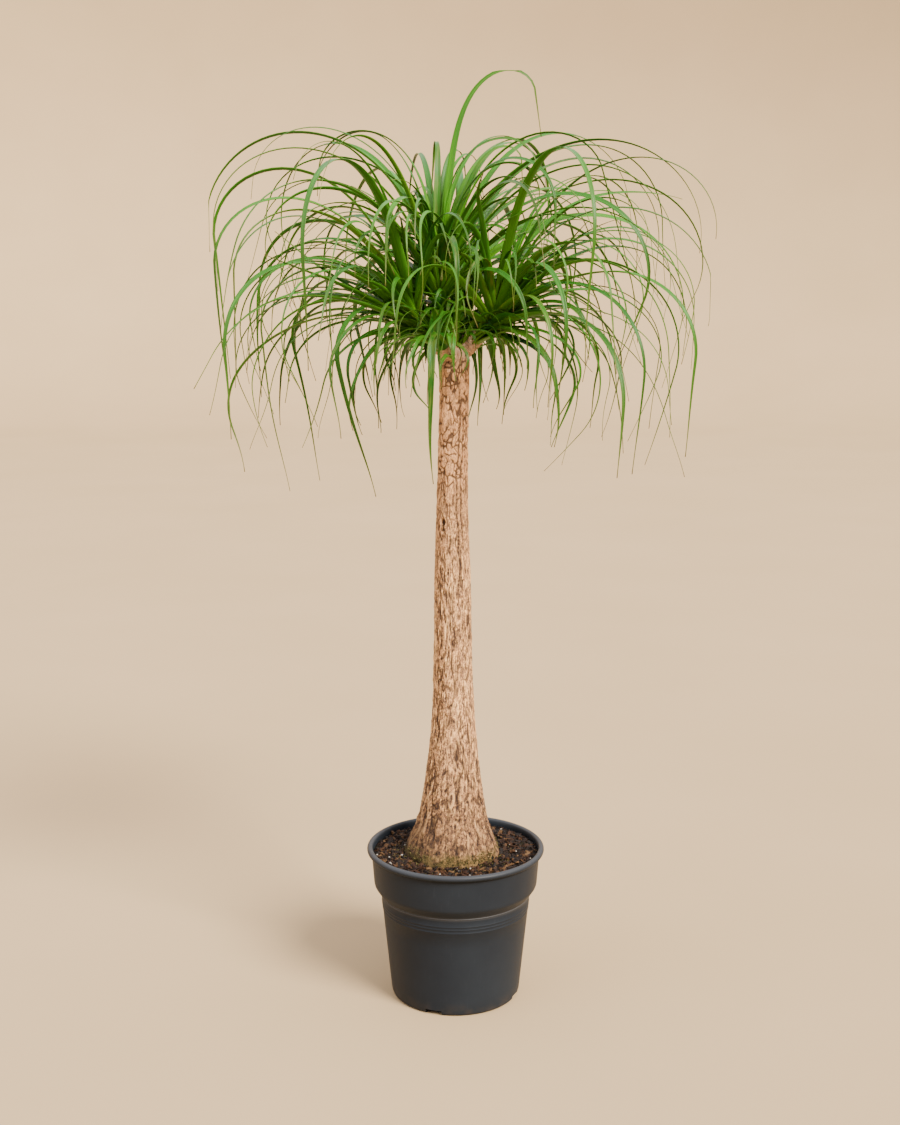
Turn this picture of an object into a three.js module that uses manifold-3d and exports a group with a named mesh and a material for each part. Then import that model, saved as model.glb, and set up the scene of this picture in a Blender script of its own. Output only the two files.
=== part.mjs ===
// A potted ponytail palm: a nursery pot, potting mix, a corky trunk with a swollen foot, and five heads of
// long strap leaves that arch out and hang. Millimetres, +Z up. The origin is the middle of the pot's base,
// and -Y is the front.
import * as THREE from "three";
import { mergeVertices } from "three/addons/utils/BufferGeometryUtils.js";
import Module from "manifold-3d";

const wasm = await Module();
wasm.setup();

// Clearance between pieces that rest in or on each other.
const GAP = 0.35;

// Pot: a 24 cm nursery container with a rolled lip, a wide upper band, a shoulder and a tapered body.
const POT_HEIGHT = 208;
const POT_WALL = 1.8;
const POT_SIDES = 40;
const LIP_RADIUS = 120;
const LIP_ROLL = 4;
const LIP_ARC = [-60, 150];
const BAND_TOP_RADIUS = 114;
const BAND_FOOT_RADIUS = 110.5;
const BAND_FOOT_Z = 155.5;
const SHOULDER_RADIUS = 101.5;
const SHOULDER_Z = 143.5;
const BODY_FOOT_RADIUS = 87;
const CORNER_RADIUS = 5;
const RIB_HEIGHTS = [131, 122];
const RIB_WIDTH = 2.4;
const RIB_RELIEF = 0.9;
const FOOT_RING_RADIUS = 76;
const FOOT_RING_DRAFT = 1;
const FLOOR_RECESS = 3;
const FLOOR_THICKNESS = 2.2;
const SLOT_COUNT = 4;
const SLOT_WIDTH = 22;
const SLOT_HEIGHT = 7;
const SLOT_FIRST_ANGLE = -110;
const DRAIN_COUNT = 4;
const DRAIN_RADIUS = 7;
const DRAIN_SIDES = 10;
const DRAIN_CIRCLE = 46;

// Potting mix: bark chips and grit up to a little below the lip, slightly heaped towards the trunk.
const SOIL_EDGE_Z = 199.5;
const SOIL_HEAP = 3;
const SOIL_RINGS = 4;
const SOIL_UNEVENNESS = 1.6;
const CHIP_COUNT = 22;
const CHIP_SEED = 11;
const CHIP_LENGTHS = [7, 15];
const CHIP_WIDTHS = [4, 8];
const CHIP_THICKNESSES = [3.4, 5];
const CHIP_TILT = 0.35;
const CHIP_CIRCLES = [70, 99];
const CHIP_ROUNDS = 5;

// Trunk: slender, with a flared foot at the soil and a rounded end buried in it.
const SOIL_LINE = 201.5;
const TRUNK_TOP = 876;
const FOOT_DEPTH = 78;
const FOOT_ROUNDING = 0.85;
const TOP_RADIUS = 18.6;
const SHAFT_SWELL = 6.6;
const SHAFT_MIDDLE = 625;
const SHAFT_BLEND = 45;
const FLARE_SWELL = 20;
const FLARE_LENGTH = 135;
const TOE_SWELL = 17;
const TOE_LENGTH = 32;
const TOE_CURVE = 1.5;
const TOE_FORWARD = 6;
const BARK_RIDGES = 12;
const BARK_STEPS = 36;
const BARK_STEP_CURVE = 1.12;
const BARK_RELIEF = 1.1;
const BARK_RELIEF_AT_FOOT = 2.4;
const BARK_WANDER = 0.09;
const CREST_SHARE = 0.35;
const ROOT_RELIEF = 2.2;
const TOP_ROUNDING = 4;
const LEAN_FOOT_Z = 188;
const TRUNK_FOOT_X = -5;
const TRUNK_TOP_X = -2;
const TRUNK_SWAY = 1.6;
const TRUNK_WAVES = 1.1;

// Heads: five short ringed stubs leave the top of the trunk, and each carries a rosette of leaves. A head
// has the seat at the end of its stub, how far its leaves lean away from the trunk, the number of leaves it
// would hold with room for all, the launch angles of its oldest and youngest leaf in degrees, and the scale
// of its leaves.
const FORK_DEPTH = 16;
const STUB_SIDES = 8;
const STUB_RADIUS = 9.5;
const STUB_RING_RELIEF = 1.3;
const STUB_RINGS = 3;
const CORE_FOOT_INSET = 1;
const CORE_SHAPE = [[1, 0.3], [0.8, 0.7], [0.35, 1]];
const CORE_LENGTH = 34;
const CORE_RADIUS = 12;
const HEADS = [
  { name: "centre", seat: [-16, 4, 920], lean: 0, leaves: 52, oldest: 20, youngest: 89, scale: 1 },
  { name: "left", seat: [-36, -2, 892], lean: 0.45, leaves: 46, oldest: -6, youngest: 84, scale: 0.95 },
  { name: "right", seat: [32, -5, 894], lean: 0.45, leaves: 38, oldest: -6, youngest: 86, scale: 0.95 },
  { name: "back", seat: [6, 34, 898], lean: 0.45, leaves: 46, oldest: -6, youngest: 84, scale: 1 },
  { name: "front", seat: [-16, -29, 882], lean: 0.5, leaves: 12, oldest: 0, youngest: 64, scale: 0.4 },
];

// Leaves: a strap that tapers to a thread. It leaves its head at a launch angle and falls to an end angle.
const LEAF_SEED = 2024;
const LEAF_LENGTH = 530;
const LEAF_WIDTH = 14;
const LEAF_TIP_WIDTH = 1.7;
const LEAF_KEEL = 0.17;
const LEAF_LEAST_KEEL = 1.0;
const SPINE_STEPS = 48;
const BLADE_STATIONS = [0, 7, 14, 20, 26, 32, 39, 48];
const OUTLINE_STATIONS = [0, 6, 12, 18, 23, 28, 32, 36, 40, 44, 48];
const ROOT_INSET = 4;
const ROOT_RISE = 3;
const ROOT_BELOW_TIP = 7;

// How leaves differ: by age in their head, by how steeply they start and by chance. Ages run from 0, the
// oldest and lowest leaf, to 1, the youngest. The old, the young and those at the front are shorter.
const GOLDEN_ANGLE = 137.50776;
const OLD_AGE = 0.25;
const YOUNG_AGE = 0.8;
const OLD_LOSS = 0.45;
const YOUNG_LOSS = 0.5;
const FRONT_LOSS = 0.35;
const FLAT_LOSS = 0.38;
const FACING_LOSS = 0.22;
const FRONT_LAUNCH = 75;
const FRONT_LIFT = 0.8;
const FRONT_NARROWNESS = 8;
const AGE_CURVE = 0.8;
const END_ANGLE = -92;
const BEND = { least: 1.5, steep: 0.4, young: 1.2 };
const HANG_FROM = { least: 0.7, steep: 0.22 };
const CHANCE = { turn: 0.35, climb: 0.28, length: 0.4, end: 56, bend: 0.5, hang: 0.2, sway: 0.9 };
const TWIST_CHANCE = 1.6;
const ROLL_CHANCE = 2.4;
const WIDTH_CHANCE = 0.4;
const OUTLINE_WIDTH_CHANCE = 0.25;
const OUTLINE_ROLL_CHANCE = 1.6;

// Room that each leaf keeps from the leaves of other heads and from wood, and the space the crown fills.
const PLACING_TRIES = 60;
const TRY_TURN = 0.37;
const TRY_LOSS = 0.01;
const CLEAR_CELL = 6;
const WOOD_ROOM = 8;
const ROOT_ROOM = 2.5;
const ROOT_STEPS = 5;
const CROWN_REACH = 318;
const CROWN_TOP = 1165;
const CROWN_SKIRT = 705;

// The leaves that draw the outline of the crown. Each row holds its head, heading, launch angle, length, end
// angle, bend, the share of its length from which it hangs, sway and twist. Angles are in degrees, and a
// heading of 0 points to +X.
const OUTLINE_LEAVES = [
  ["centre", 0, 85, 404, -82, 5.2, 0.86, 0, 125],
  ["centre", 95, 88, 285, -85, 6, 0.82, 0, 10],
  ["centre", 68, 84, 290, -85, 5, 0.82, 0, 20],
  ["centre", 5, 75, 277, -84, 6, 0.86, 0, 115],
  ["centre", 167, 77, 523, -96, 1.6, 0.95, 0, 20],
  ["centre", 162, 86, 365, -86, 2.6, 0.9, 8, -30],
  ["centre", 192, 72, 505, -90, 1.7, 0.85, -8, 0],
  ["left", 175, 73, 590, -96, 2.0, 0.7, 0, 15],
  ["left", 193, 67, 530, -94, 1.9, 0.7, 0, 0],
  ["left", 208, 65, 480, -88, 1.8, 0.72, 0, 20],
  ["left", 160, 60, 430, -88, 1.7, 0.7, 6, 0],
  ["left", 186, 52, 475, -98, 1.6, 0.57, 10, 0],
  ["left", 155, 36, 425, -104, 1.9, 0.58, 0, 0],
  ["left", 216, 50, 350, -106, 1.1, 0.5, 0, 0],
  ["right", -24, 70, 440, -98, 2.0, 1.0, 0, 0],
  ["right", 22, 88, 350, -16, 0.8, 1.0, 0, 0],
  ["right", -4, 72, 440, -100, 1.4, 0.95, 0, 0],
  ["centre", -12, 76, 530, -76, 2.4, 0.66, 8, 20],
  ["right", 12, 57, 430, -90, 1.5, 0.85, 0, 0],
  ["right", -18, 59, 475, -105, 1.2, 0.74, 0, 0],
  ["right", 20, 52, 300, -78, 1.1, 0.7, 0, 0],
  ["right", -26, 46, 345, -132, 0.9, 0.8, 0, 0],
  ["back", 92, 77, 545, -97, 1.8, 0.8, 0, 0],
  ["back", 72, 68, 530, -94, 1.6, 0.8, 6, 0],
  ["back", 114, 70, 535, -98, 1.6, 0.82, -6, 0],
  ["right", -73, 64, 610, -95, 1.9, 0.8, 0, 0],
  ["left", -110, 63, 600, -95, 1.9, 0.8, 0, 0],
  ["centre", -80, 72, 270, -92, 1.5, 0.7, 0, -25],
  ["centre", -118, 84, 290, -80, 1.9, 0.75, 0, 40],
  ["centre", -98, 12, 275, -98, 0.8, 0.6, 0, 0],
];

const DEGREE = Math.PI / 180;

const materials = {
  pot: new THREE.MeshStandardMaterial({ color: 0x3b3d42, roughness: 0.55, metalness: 0 }),
  soil: new THREE.MeshStandardMaterial({ color: 0x4a3020, roughness: 0.95, metalness: 0 }),
  bark: new THREE.MeshStandardMaterial({ color: 0xb08a68, roughness: 0.9, metalness: 0 }),
  leaf: new THREE.MeshStandardMaterial({ color: 0x4c8a2a, roughness: 0.5, metalness: 0 }),
};

// A repeatable draw of numbers from 0 to 1.
function seededDraw(seed) {
  let state = seed;
  return () => {
    state = (Math.imul(state, 1664525) + 1013904223) >>> 0;
    return state / 2 ** 32;
  };
}

const mix = (a, b, share) => a + (b - a) * share;

function solidOf(geometry) {
  geometry.deleteAttribute("normal");
  geometry.deleteAttribute("uv");
  const merged = mergeVertices(geometry, 1e-3);
  return new wasm.Manifold(
    new wasm.Mesh({
      numProp: 3,
      vertProperties: merged.attributes.position.array,
      triVerts: new Uint32Array(merged.index.array),
    }),
  );
}

function geometryOf(solid) {
  const { vertProperties, triVerts } = solid.getMesh();
  const geometry = new THREE.BufferGeometry();
  geometry.setAttribute("position", new THREE.BufferAttribute(vertProperties, 3));
  geometry.setIndex(new THREE.BufferAttribute(triVerts, 1));
  geometry.computeVertexNormals();
  return geometry;
}

function piece(name, solid, material) {
  const mesh = new THREE.Mesh(geometryOf(solid), material);
  mesh.name = name;
  return mesh;
}

// Turns a profile of [radius, height] pairs about +Z.
function turned(profile, sides) {
  const points = profile.map(([radius, height]) => new THREE.Vector2(radius, height));
  return new THREE.LatheGeometry(points, sides).rotateX(Math.PI / 2);
}

// Points on an arc of a profile, from one angle to another in degrees.
function arc(radius, height, bend, from, to, steps) {
  return Array.from({ length: steps + 1 }, (_, i) => {
    const angle = mix(from, to, i / steps) * DEGREE;
    return [radius + bend * Math.cos(angle), height + bend * Math.sin(angle)];
  });
}

// ---- Pot ----

function bodyRadius(z) {
  return mix(BODY_FOOT_RADIUS, SHOULDER_RADIUS, z / SHOULDER_Z);
}

function ribs() {
  return [...RIB_HEIGHTS].reverse().flatMap((z) => [
    [bodyRadius(z - RIB_WIDTH / 2), z - RIB_WIDTH / 2],
    [bodyRadius(z) + RIB_RELIEF, z],
    [bodyRadius(z + RIB_WIDTH / 2), z + RIB_WIDTH / 2],
  ]);
}

function bandRadius(z) {
  const share = (z - BAND_FOOT_Z) / (POT_HEIGHT - 2 * LIP_ROLL - BAND_FOOT_Z);
  return mix(BAND_FOOT_RADIUS, BAND_TOP_RADIUS, share);
}

// The inside of the pot, from its floor up to a height in its upper band.
function innerProfile(inset, topZ) {
  return [
    [BODY_FOOT_RADIUS - CORNER_RADIUS - inset, FLOOR_RECESS + FLOOR_THICKNESS],
    [bodyRadius(FLOOR_RECESS + 2 * FLOOR_THICKNESS) - inset, FLOOR_RECESS + 2 * FLOOR_THICKNESS],
    [SHOULDER_RADIUS - inset, SHOULDER_Z],
    [BAND_FOOT_RADIUS - inset, BAND_FOOT_Z],
    [bandRadius(topZ) - inset, topZ],
  ];
}

// Makes a number of like pieces and turns them evenly round the pot's axis.
function ringOf(count, firstAngle, make) {
  const angleOf = (i) => (firstAngle + (360 / count) * i) * DEGREE;
  return Array.from({ length: count }, (_, i) => make().rotateZ(angleOf(i)));
}

// A slot through the corner of floor and wall, which lets water out.
function slotCut() {
  const slot = new THREE.BoxGeometry(4 * CORNER_RADIUS, SLOT_WIDTH, 2 * SLOT_HEIGHT);
  return slot.translate(BODY_FOOT_RADIUS, 0, 0);
}

// A round hole through the floor.
function drainCut() {
  const drain = new THREE.CylinderGeometry(DRAIN_RADIUS, DRAIN_RADIUS, 6 * FLOOR_THICKNESS, DRAIN_SIDES);
  return drain.rotateX(Math.PI / 2).translate(DRAIN_CIRCLE, 0, FLOOR_RECESS);
}

function makePot() {
  const lipRadius = LIP_RADIUS - LIP_ROLL;
  const lipZ = POT_HEIGHT - LIP_ROLL;
  const profile = [
    [0, FLOOR_RECESS],
    [FOOT_RING_RADIUS - FOOT_RING_DRAFT, FLOOR_RECESS],
    [FOOT_RING_RADIUS, 0],
    ...arc(BODY_FOOT_RADIUS - CORNER_RADIUS, CORNER_RADIUS, CORNER_RADIUS, -90, 0, 3),
    ...ribs(),
    [SHOULDER_RADIUS, SHOULDER_Z],
    [BAND_FOOT_RADIUS, BAND_FOOT_Z],
    [BAND_TOP_RADIUS, lipZ - LIP_ROLL],
    ...arc(lipRadius, lipZ, LIP_ROLL, ...LIP_ARC, 6),
    ...innerProfile(POT_WALL, POT_HEIGHT - 2 * LIP_ROLL).reverse(),
    [0, FLOOR_RECESS + FLOOR_THICKNESS],
  ];
  const cuts = [...ringOf(SLOT_COUNT, SLOT_FIRST_ANGLE, slotCut), ...ringOf(DRAIN_COUNT, 0, drainCut)];
  return cuts.reduce((pot, cut) => pot.subtract(solidOf(cut)), solidOf(turned(profile, POT_SIDES)));
}

// ---- Trunk ----

// Radius of the bare trunk at a height, with no bark relief.
function trunkRadius(z) {
  const above = Math.max(z, SOIL_LINE) - SOIL_LINE;
  const radius =
    TOP_RADIUS +
    SHAFT_SWELL / (1 + Math.exp((SOIL_LINE + above - SHAFT_MIDDLE) / SHAFT_BLEND)) +
    FLARE_SWELL * Math.exp(-((above / FLARE_LENGTH) ** 2)) +
    TOE_SWELL * Math.exp(-((above / TOE_LENGTH) ** TOE_CURVE));
  const below = Math.max(SOIL_LINE - z, 0) / FOOT_DEPTH;
  return radius * Math.sqrt(1 - FOOT_ROUNDING * below ** 2);
}

// Middle of the trunk at a height: it leans a little, has a slight bend and stands forward at its foot.
function trunkMiddle(z) {
  const share = (z - LEAN_FOOT_Z) / (TRUNK_TOP - LEAN_FOOT_Z);
  const bend = TRUNK_SWAY * Math.sin(share * TRUNK_WAVES * 2 * Math.PI);
  const forward = TOE_FORWARD * Math.exp(-((Math.max(0, z - SOIL_LINE) / FLARE_LENGTH) ** 2));
  return [mix(TRUNK_FOOT_X, TRUNK_TOP_X, share) + bend, bend - forward];
}

// Bark: ridges run up the trunk, wander sideways and come and go. Crests and fissures alternate.
function barkRelief(side, z) {
  const foot = Math.exp(-Math.max(z - SOIL_LINE, 0) / FLARE_LENGTH);
  const depth = mix(BARK_RELIEF, BARK_RELIEF_AT_FOOT, foot);
  const fade = 0.6 + 0.4 * Math.sin(side * 2.4 + z * 0.045) * Math.cos(side * 1.3 - z * 0.021);
  const rootFlare = ROOT_RELIEF * foot * Math.cos(side * 1.12 + 0.6);
  return (side % 2 ? -depth : depth * CREST_SHARE) * fade + rootFlare;
}

function makeTrunk(clearance) {
  const sides = BARK_RIDGES * 2;
  const shell = new THREE.CylinderGeometry(1, 1, 1, sides, BARK_STEPS).rotateX(Math.PI / 2);
  const at = shell.getAttribute("position");
  for (let i = 0; i < at.count; i++) {
    const share = at.getZ(i) + 0.5;
    const z = mix(SOIL_LINE - FOOT_DEPTH, TRUNK_TOP, share ** BARK_STEP_CURVE);
    const turn = Math.atan2(at.getY(i), at.getX(i));
    const side = Math.round((turn / (2 * Math.PI) + 1) * sides) % sides;
    const wander = BARK_WANDER * Math.sin(z * 0.031 + side);
    const reach = Math.hypot(at.getX(i), at.getY(i));
    const relief = share < 1 ? barkRelief(side, z) : -TOP_ROUNDING;
    const radius = reach * (trunkRadius(z) + relief + clearance);
    const [x, y] = trunkMiddle(z);
    const end = share === 0 ? -clearance : 0;
    at.setXYZ(i, x + radius * Math.cos(turn + wander), y + radius * Math.sin(turn + wander), z + end);
  }
  return solidOf(shell);
}

// Places a turned piece so that its own +Z runs from one point to another.
function along(geometry, from, to) {
  const direction = to.clone().sub(from).normalize();
  const turn = new THREE.Quaternion().setFromUnitVectors(new THREE.Vector3(0, 0, 1), direction);
  return geometry.applyQuaternion(turn).translate(from.x, from.y, from.z);
}

const forkPoint = new THREE.Vector3(...trunkMiddle(TRUNK_TOP), TRUNK_TOP - FORK_DEPTH);
const seatOf = (head) => new THREE.Vector3(...head.seat);

// A stub with the ring scars of old leaves, from inside the trunk to the seat of its head.
function makeStub(head) {
  const length = forkPoint.distanceTo(seatOf(head));
  const profile = [[0, 0]];
  for (let i = 0; i <= STUB_RINGS * 2; i++) {
    const radius = STUB_RADIUS + (i % 2 ? -STUB_RING_RELIEF : STUB_RING_RELIEF);
    profile.push([radius, (length * i) / (STUB_RINGS * 2)]);
  }
  profile.push([0, length]);
  return solidOf(along(turned(profile, STUB_SIDES), forkPoint, seatOf(head)));
}

// ---- Potting mix ----

// The mix itself, with an uneven surface.
function ground() {
  const profile = [[0, FLOOR_RECESS + FLOOR_THICKNESS + GAP]];
  const inner = innerProfile(POT_WALL + GAP, SOIL_EDGE_Z - GAP);
  for (const [radius, z] of inner) profile.push([radius, z + GAP]);
  const rim = profile[profile.length - 1][0];
  for (let ring = 1; ring <= SOIL_RINGS; ring++) {
    const share = ring / SOIL_RINGS;
    profile.push([mix(rim, 0, share), SOIL_EDGE_Z + SOIL_HEAP * share]);
  }
  const mass = turned(profile, POT_SIDES);
  const at = mass.getAttribute("position");
  for (let i = 0; i < at.count; i++) {
    const [x, y, z] = [at.getX(i), at.getY(i), at.getZ(i)];
    const unevenness = SOIL_UNEVENNESS * Math.sin(x * 0.31 + 1.7) * Math.cos(y * 0.27 - 0.4);
    if (z > SOIL_EDGE_Z) at.setZ(i, z + unevenness);
  }
  return mass;
}

// A bark chip that lies half sunk in the surface.
function chipOf(i, draw) {
  const ranges = [CHIP_LENGTHS, CHIP_WIDTHS, CHIP_THICKNESSES];
  const chip = new THREE.BoxGeometry(...ranges.map(([least, most]) => mix(least, most, draw())));
  chip.rotateX((2 * draw() - 1) * CHIP_TILT);
  chip.rotateY((2 * draw() - 1) * CHIP_TILT);
  chip.rotateZ(draw() * Math.PI);
  const [inner, outer] = CHIP_CIRCLES;
  const reach = Math.sqrt(mix(inner ** 2, outer ** 2, draw()));
  const turn = ((i * CHIP_ROUNDS) / CHIP_COUNT + 2 * draw()) * 2 * Math.PI;
  return chip.translate(reach * Math.cos(turn), reach * Math.sin(turn), SOIL_EDGE_Z + SOIL_HEAP / 2);
}

function makeSoil() {
  const draw = seededDraw(CHIP_SEED);
  const chips = Array.from({ length: CHIP_COUNT }, (_, i) => solidOf(chipOf(i, draw)));
  return chips.reduce((soil, chip) => soil.add(chip), solidOf(ground())).subtract(makeTrunk(GAP));
}

// ---- Leaves ----

// Share of a leaf's greatest width at a share of its length: broad early, then a long taper.
function widthShare(s) {
  return Math.min(1, 0.55 + 4 * s) * (1 - s) ** 1.1;
}

// Angle above the horizontal at a share of the leaf's length.
function climbAt(leaf, s) {
  return mix(leaf.launch, leaf.end, Math.min(1, s / leaf.hangFrom) ** leaf.bend);
}

const headingAt = (leaf, s) => leaf.heading + leaf.sway * s * s;

// The blade's direction, its line from edge to edge and its upper normal, at a share of its length.
function frameAt(leaf, s) {
  const [climb, heading] = [climbAt(leaf, s), headingAt(leaf, s)];
  const flat = new THREE.Vector3(-Math.sin(heading), Math.cos(heading), 0);
  const up = new THREE.Vector3(
    -Math.sin(climb) * Math.cos(heading),
    -Math.sin(climb) * Math.sin(heading),
    Math.cos(climb),
  );
  const roll = leaf.twist * (1 - s) ** 2 + leaf.roll * s;
  return {
    across: flat.clone().multiplyScalar(Math.cos(roll)).addScaledVector(up, Math.sin(roll)),
    normal: up.multiplyScalar(Math.cos(roll)).addScaledVector(flat, -Math.sin(roll)),
  };
}

function spineOf(leaf) {
  const points = [leaf.root.clone()];
  const step = leaf.length / SPINE_STEPS;
  for (let i = 0; i < SPINE_STEPS; i++) {
    const s = (i + 0.5) / SPINE_STEPS;
    const [climb, heading] = [climbAt(leaf, s), headingAt(leaf, s)];
    const forward = new THREE.Vector3(
      Math.cos(climb) * Math.cos(heading),
      Math.cos(climb) * Math.sin(heading),
      Math.sin(climb),
    );
    points.push(points[i].clone().addScaledVector(forward, step));
  }
  return points;
}

// A leaf roots on the core of its head, higher up the steeper it starts.
function rootOf(head, heading, launch) {
  const seat = seatOf(head);
  const steepness = Math.max(0, Math.sin(launch));
  const stem = seat.clone().sub(forkPoint).normalize();
  const rise = mix(ROOT_RISE, CORE_LENGTH - ROOT_BELOW_TIP, steepness);
  const root = seat.clone().addScaledVector(stem, rise);
  const outward = ROOT_INSET * (1 - steepness);
  return root.add(new THREE.Vector3(outward * Math.cos(heading), outward * Math.sin(heading), 0));
}

function outlineLeaf([name, heading, launch, length, end, bend, hangFrom, sway, twist], draw) {
  const head = HEADS.find((each) => each.name === name);
  return {
    root: rootOf(head, heading * DEGREE, launch * DEGREE),
    heading: heading * DEGREE,
    launch: launch * DEGREE,
    length,
    width: LEAF_WIDTH * (1 + OUTLINE_WIDTH_CHANCE * draw()),
    end: end * DEGREE,
    bend,
    hangFrom,
    sway: sway * DEGREE,
    twist: twist * DEGREE,
    roll: OUTLINE_ROLL_CHANCE * (draw() - 0.5),
    stations: OUTLINE_STATIONS,
  };
}

// One leaf of a head, at an age and turned by an azimuth. Leaves that point to the front start steeply, so
// that the trunk stays in view.
function leafOf(head, age, azimuth, shortening, draw) {
  const jitter = () => draw() - 0.5;
  const seat = seatOf(head);
  const away = Math.atan2(seat.y - forkPoint.y, seat.x - forkPoint.x);
  const turn = azimuth + jitter() * CHANCE.turn;
  const climb = mix(head.oldest, head.youngest, age ** AGE_CURVE) * DEGREE + jitter() * CHANCE.climb;
  const x = Math.cos(climb) * Math.cos(turn) + head.lean * Math.cos(away);
  const y = Math.cos(climb) * Math.sin(turn) + head.lean * Math.sin(away);
  const heading = Math.atan2(y, x);
  const front = Math.max(0, -Math.sin(heading)) ** FRONT_NARROWNESS;
  const plain = Math.atan2(Math.sin(climb), Math.hypot(x, y));
  const launch = mix(plain, FRONT_LAUNCH * DEGREE, FRONT_LIFT * front);
  const steep = Math.sin(Math.max(0, launch));
  const young = Math.max(0, age - YOUNG_AGE) / (1 - YOUNG_AGE);
  const old = Math.max(0, OLD_AGE - age) / OLD_AGE;
  const lossByAge = (1 - YOUNG_LOSS * young) * (1 - OLD_LOSS * old);
  const facing = FACING_LOSS * Math.sin(heading) ** 4;
  const lossByPlace = (1 - FLAT_LOSS * (1 - steep)) * (1 - FRONT_LOSS * front) * (1 - facing);
  const whole = LEAF_LENGTH * head.scale * shortening;
  return {
    root: rootOf(head, heading, launch),
    heading,
    launch,
    length: whole * lossByAge * lossByPlace * (1 + CHANCE.length * jitter()),
    width: LEAF_WIDTH * (1 + WIDTH_CHANCE * jitter()) * Math.sqrt(head.scale),
    end: (END_ANGLE + CHANCE.end * jitter()) * DEGREE,
    bend: BEND.least + BEND.steep * steep + BEND.young * young + CHANCE.bend * jitter(),
    hangFrom: HANG_FROM.least + HANG_FROM.steep * steep + CHANCE.hang * jitter(),
    sway: CHANCE.sway * jitter(),
    twist: TWIST_CHANCE * jitter(),
    roll: ROLL_CHANCE * jitter(),
    stations: BLADE_STATIONS,
  };
}

// Samples on a leaf's spine and both its edges, for keeping heads and trunk clear of each other.
function samplesOf(leaf) {
  return spineOf(leaf).flatMap((point, i) => {
    const s = i / SPINE_STEPS;
    const { across } = frameAt(leaf, s);
    const half = (leaf.width * widthShare(s)) / 2;
    return [-half, 0, half].map((offset) => point.clone().addScaledVector(across, offset));
  });
}

const cellOf = (point) => [point.x, point.y, point.z].map((value) => Math.floor(value / CLEAR_CELL));

function nearTrunk(point, room) {
  if (point.z > TRUNK_TOP + room) return false;
  const [x, y] = trunkMiddle(Math.min(point.z, TRUNK_TOP));
  return Math.hypot(point.x - x, point.y - y) < trunkRadius(point.z) + room;
}

// Whether a point lies near a stub or its core. A leaf's own core doesn't count.
function nearStub(point, ownHead, room) {
  return HEADS.some((head) => {
    const seat = seatOf(head);
    const tip = head === ownHead ? seat : seat.clone().sub(forkPoint).setLength(CORE_LENGTH).add(seat);
    const stem = new THREE.Line3(forkPoint, tip);
    if (head === ownHead && stem.closestPointToPointParameter(point, false) > 1) return false;
    const nearest = stem.closestPointToPoint(point, true, new THREE.Vector3());
    return nearest.distanceTo(point) < CORE_RADIUS + room;
  });
}

// A grid of cells, each with the number of the head whose leaf takes it.
const taken = new Map();

// Whether a leaf stays inside the crown's space and clear of wood and other leaves. Near its root it may
// cross the leaves of its own head, which it is fused to.
function isClear(samples, head) {
  const own = HEADS.indexOf(head);
  return samples.every((point, i) => {
    if (Math.max(Math.abs(point.x), Math.abs(point.y)) > CROWN_REACH) return false;
    if (point.z > CROWN_TOP || point.z < CROWN_SKIRT) return false;
    const pastRoot = i > 3 * ROOT_STEPS;
    const room = pastRoot ? WOOD_ROOM : ROOT_ROOM;
    if (nearTrunk(point, room) || nearStub(point, head, room)) return false;
    const [a, b, c] = cellOf(point);
    if (pastRoot && taken.get(`${a},${b},${c}`) === own) return false;
    for (let da = -1; da <= 1; da++) {
      for (let db = -1; db <= 1; db++) {
        for (let dc = -1; dc <= 1; dc++) {
          const owner = taken.get(`${a + da},${b + db},${c + dc}`);
          if (owner !== undefined && owner !== own) return false;
        }
      }
    }
    return true;
  });
}

function take(samples, head) {
  for (const point of samples) taken.set(cellOf(point).join(","), HEADS.indexOf(head));
}

// Places every leaf: first the outline, then each head in turn from its oldest leaf to its youngest, by the
// golden angle. A leaf that meets another is turned and shortened until it is clear.
function placeLeaves() {
  const draw = seededDraw(LEAF_SEED);
  const placed = new Map(HEADS.map((head) => [head, []]));
  for (const row of OUTLINE_LEAVES) {
    const head = HEADS.find((each) => each.name === row[0]);
    const leaf = outlineLeaf(row, draw);
    take(samplesOf(leaf), head);
    placed.get(head).push(leaf);
  }
  const most = Math.max(...HEADS.map((head) => head.leaves));
  for (let i = 0; i < most; i++) {
    for (const head of HEADS) {
      if (i >= head.leaves) continue;
      for (let attempt = 0; attempt < PLACING_TRIES; attempt++) {
        const azimuth = (i + attempt * TRY_TURN) * GOLDEN_ANGLE * DEGREE;
        const leaf = leafOf(head, (i + 0.5) / head.leaves, azimuth, 1 - TRY_LOSS * attempt, draw);
        const samples = samplesOf(leaf);
        if (!isClear(samples, head)) continue;
        take(samples, head);
        placed.get(head).push(leaf);
        break;
      }
    }
  }
  return placed;
}

// A leaf as a slim wedge, flat above and with a keel underneath.
function makeLeaf(leaf) {
  const steps = leaf.stations.length - 1;
  const blade = new THREE.CylinderGeometry(1, 1, 1, 3, steps);
  const at = blade.getAttribute("position");
  const spine = spineOf(leaf);
  const cornerReach = Math.sin(120 * DEGREE);
  const cornerDepth = 1 - Math.cos(120 * DEGREE);
  for (let i = 0; i < at.count; i++) {
    const station = leaf.stations[Math.round((at.getY(i) + 0.5) * steps)];
    const s = station / SPINE_STEPS;
    const { across, normal } = frameAt(leaf, s);
    const width = Math.max(LEAF_TIP_WIDTH, leaf.width * widthShare(s));
    const keel = Math.max(LEAF_LEAST_KEEL, width * LEAF_KEEL);
    const corner = spine[station]
      .clone()
      .addScaledVector(across, (at.getX(i) / cornerReach) * (width / 2))
      .addScaledVector(normal, (-at.getZ(i) * keel) / cornerDepth);
    at.setXYZ(i, corner.x, corner.y, corner.z);
  }
  return solidOf(blade);
}

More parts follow.
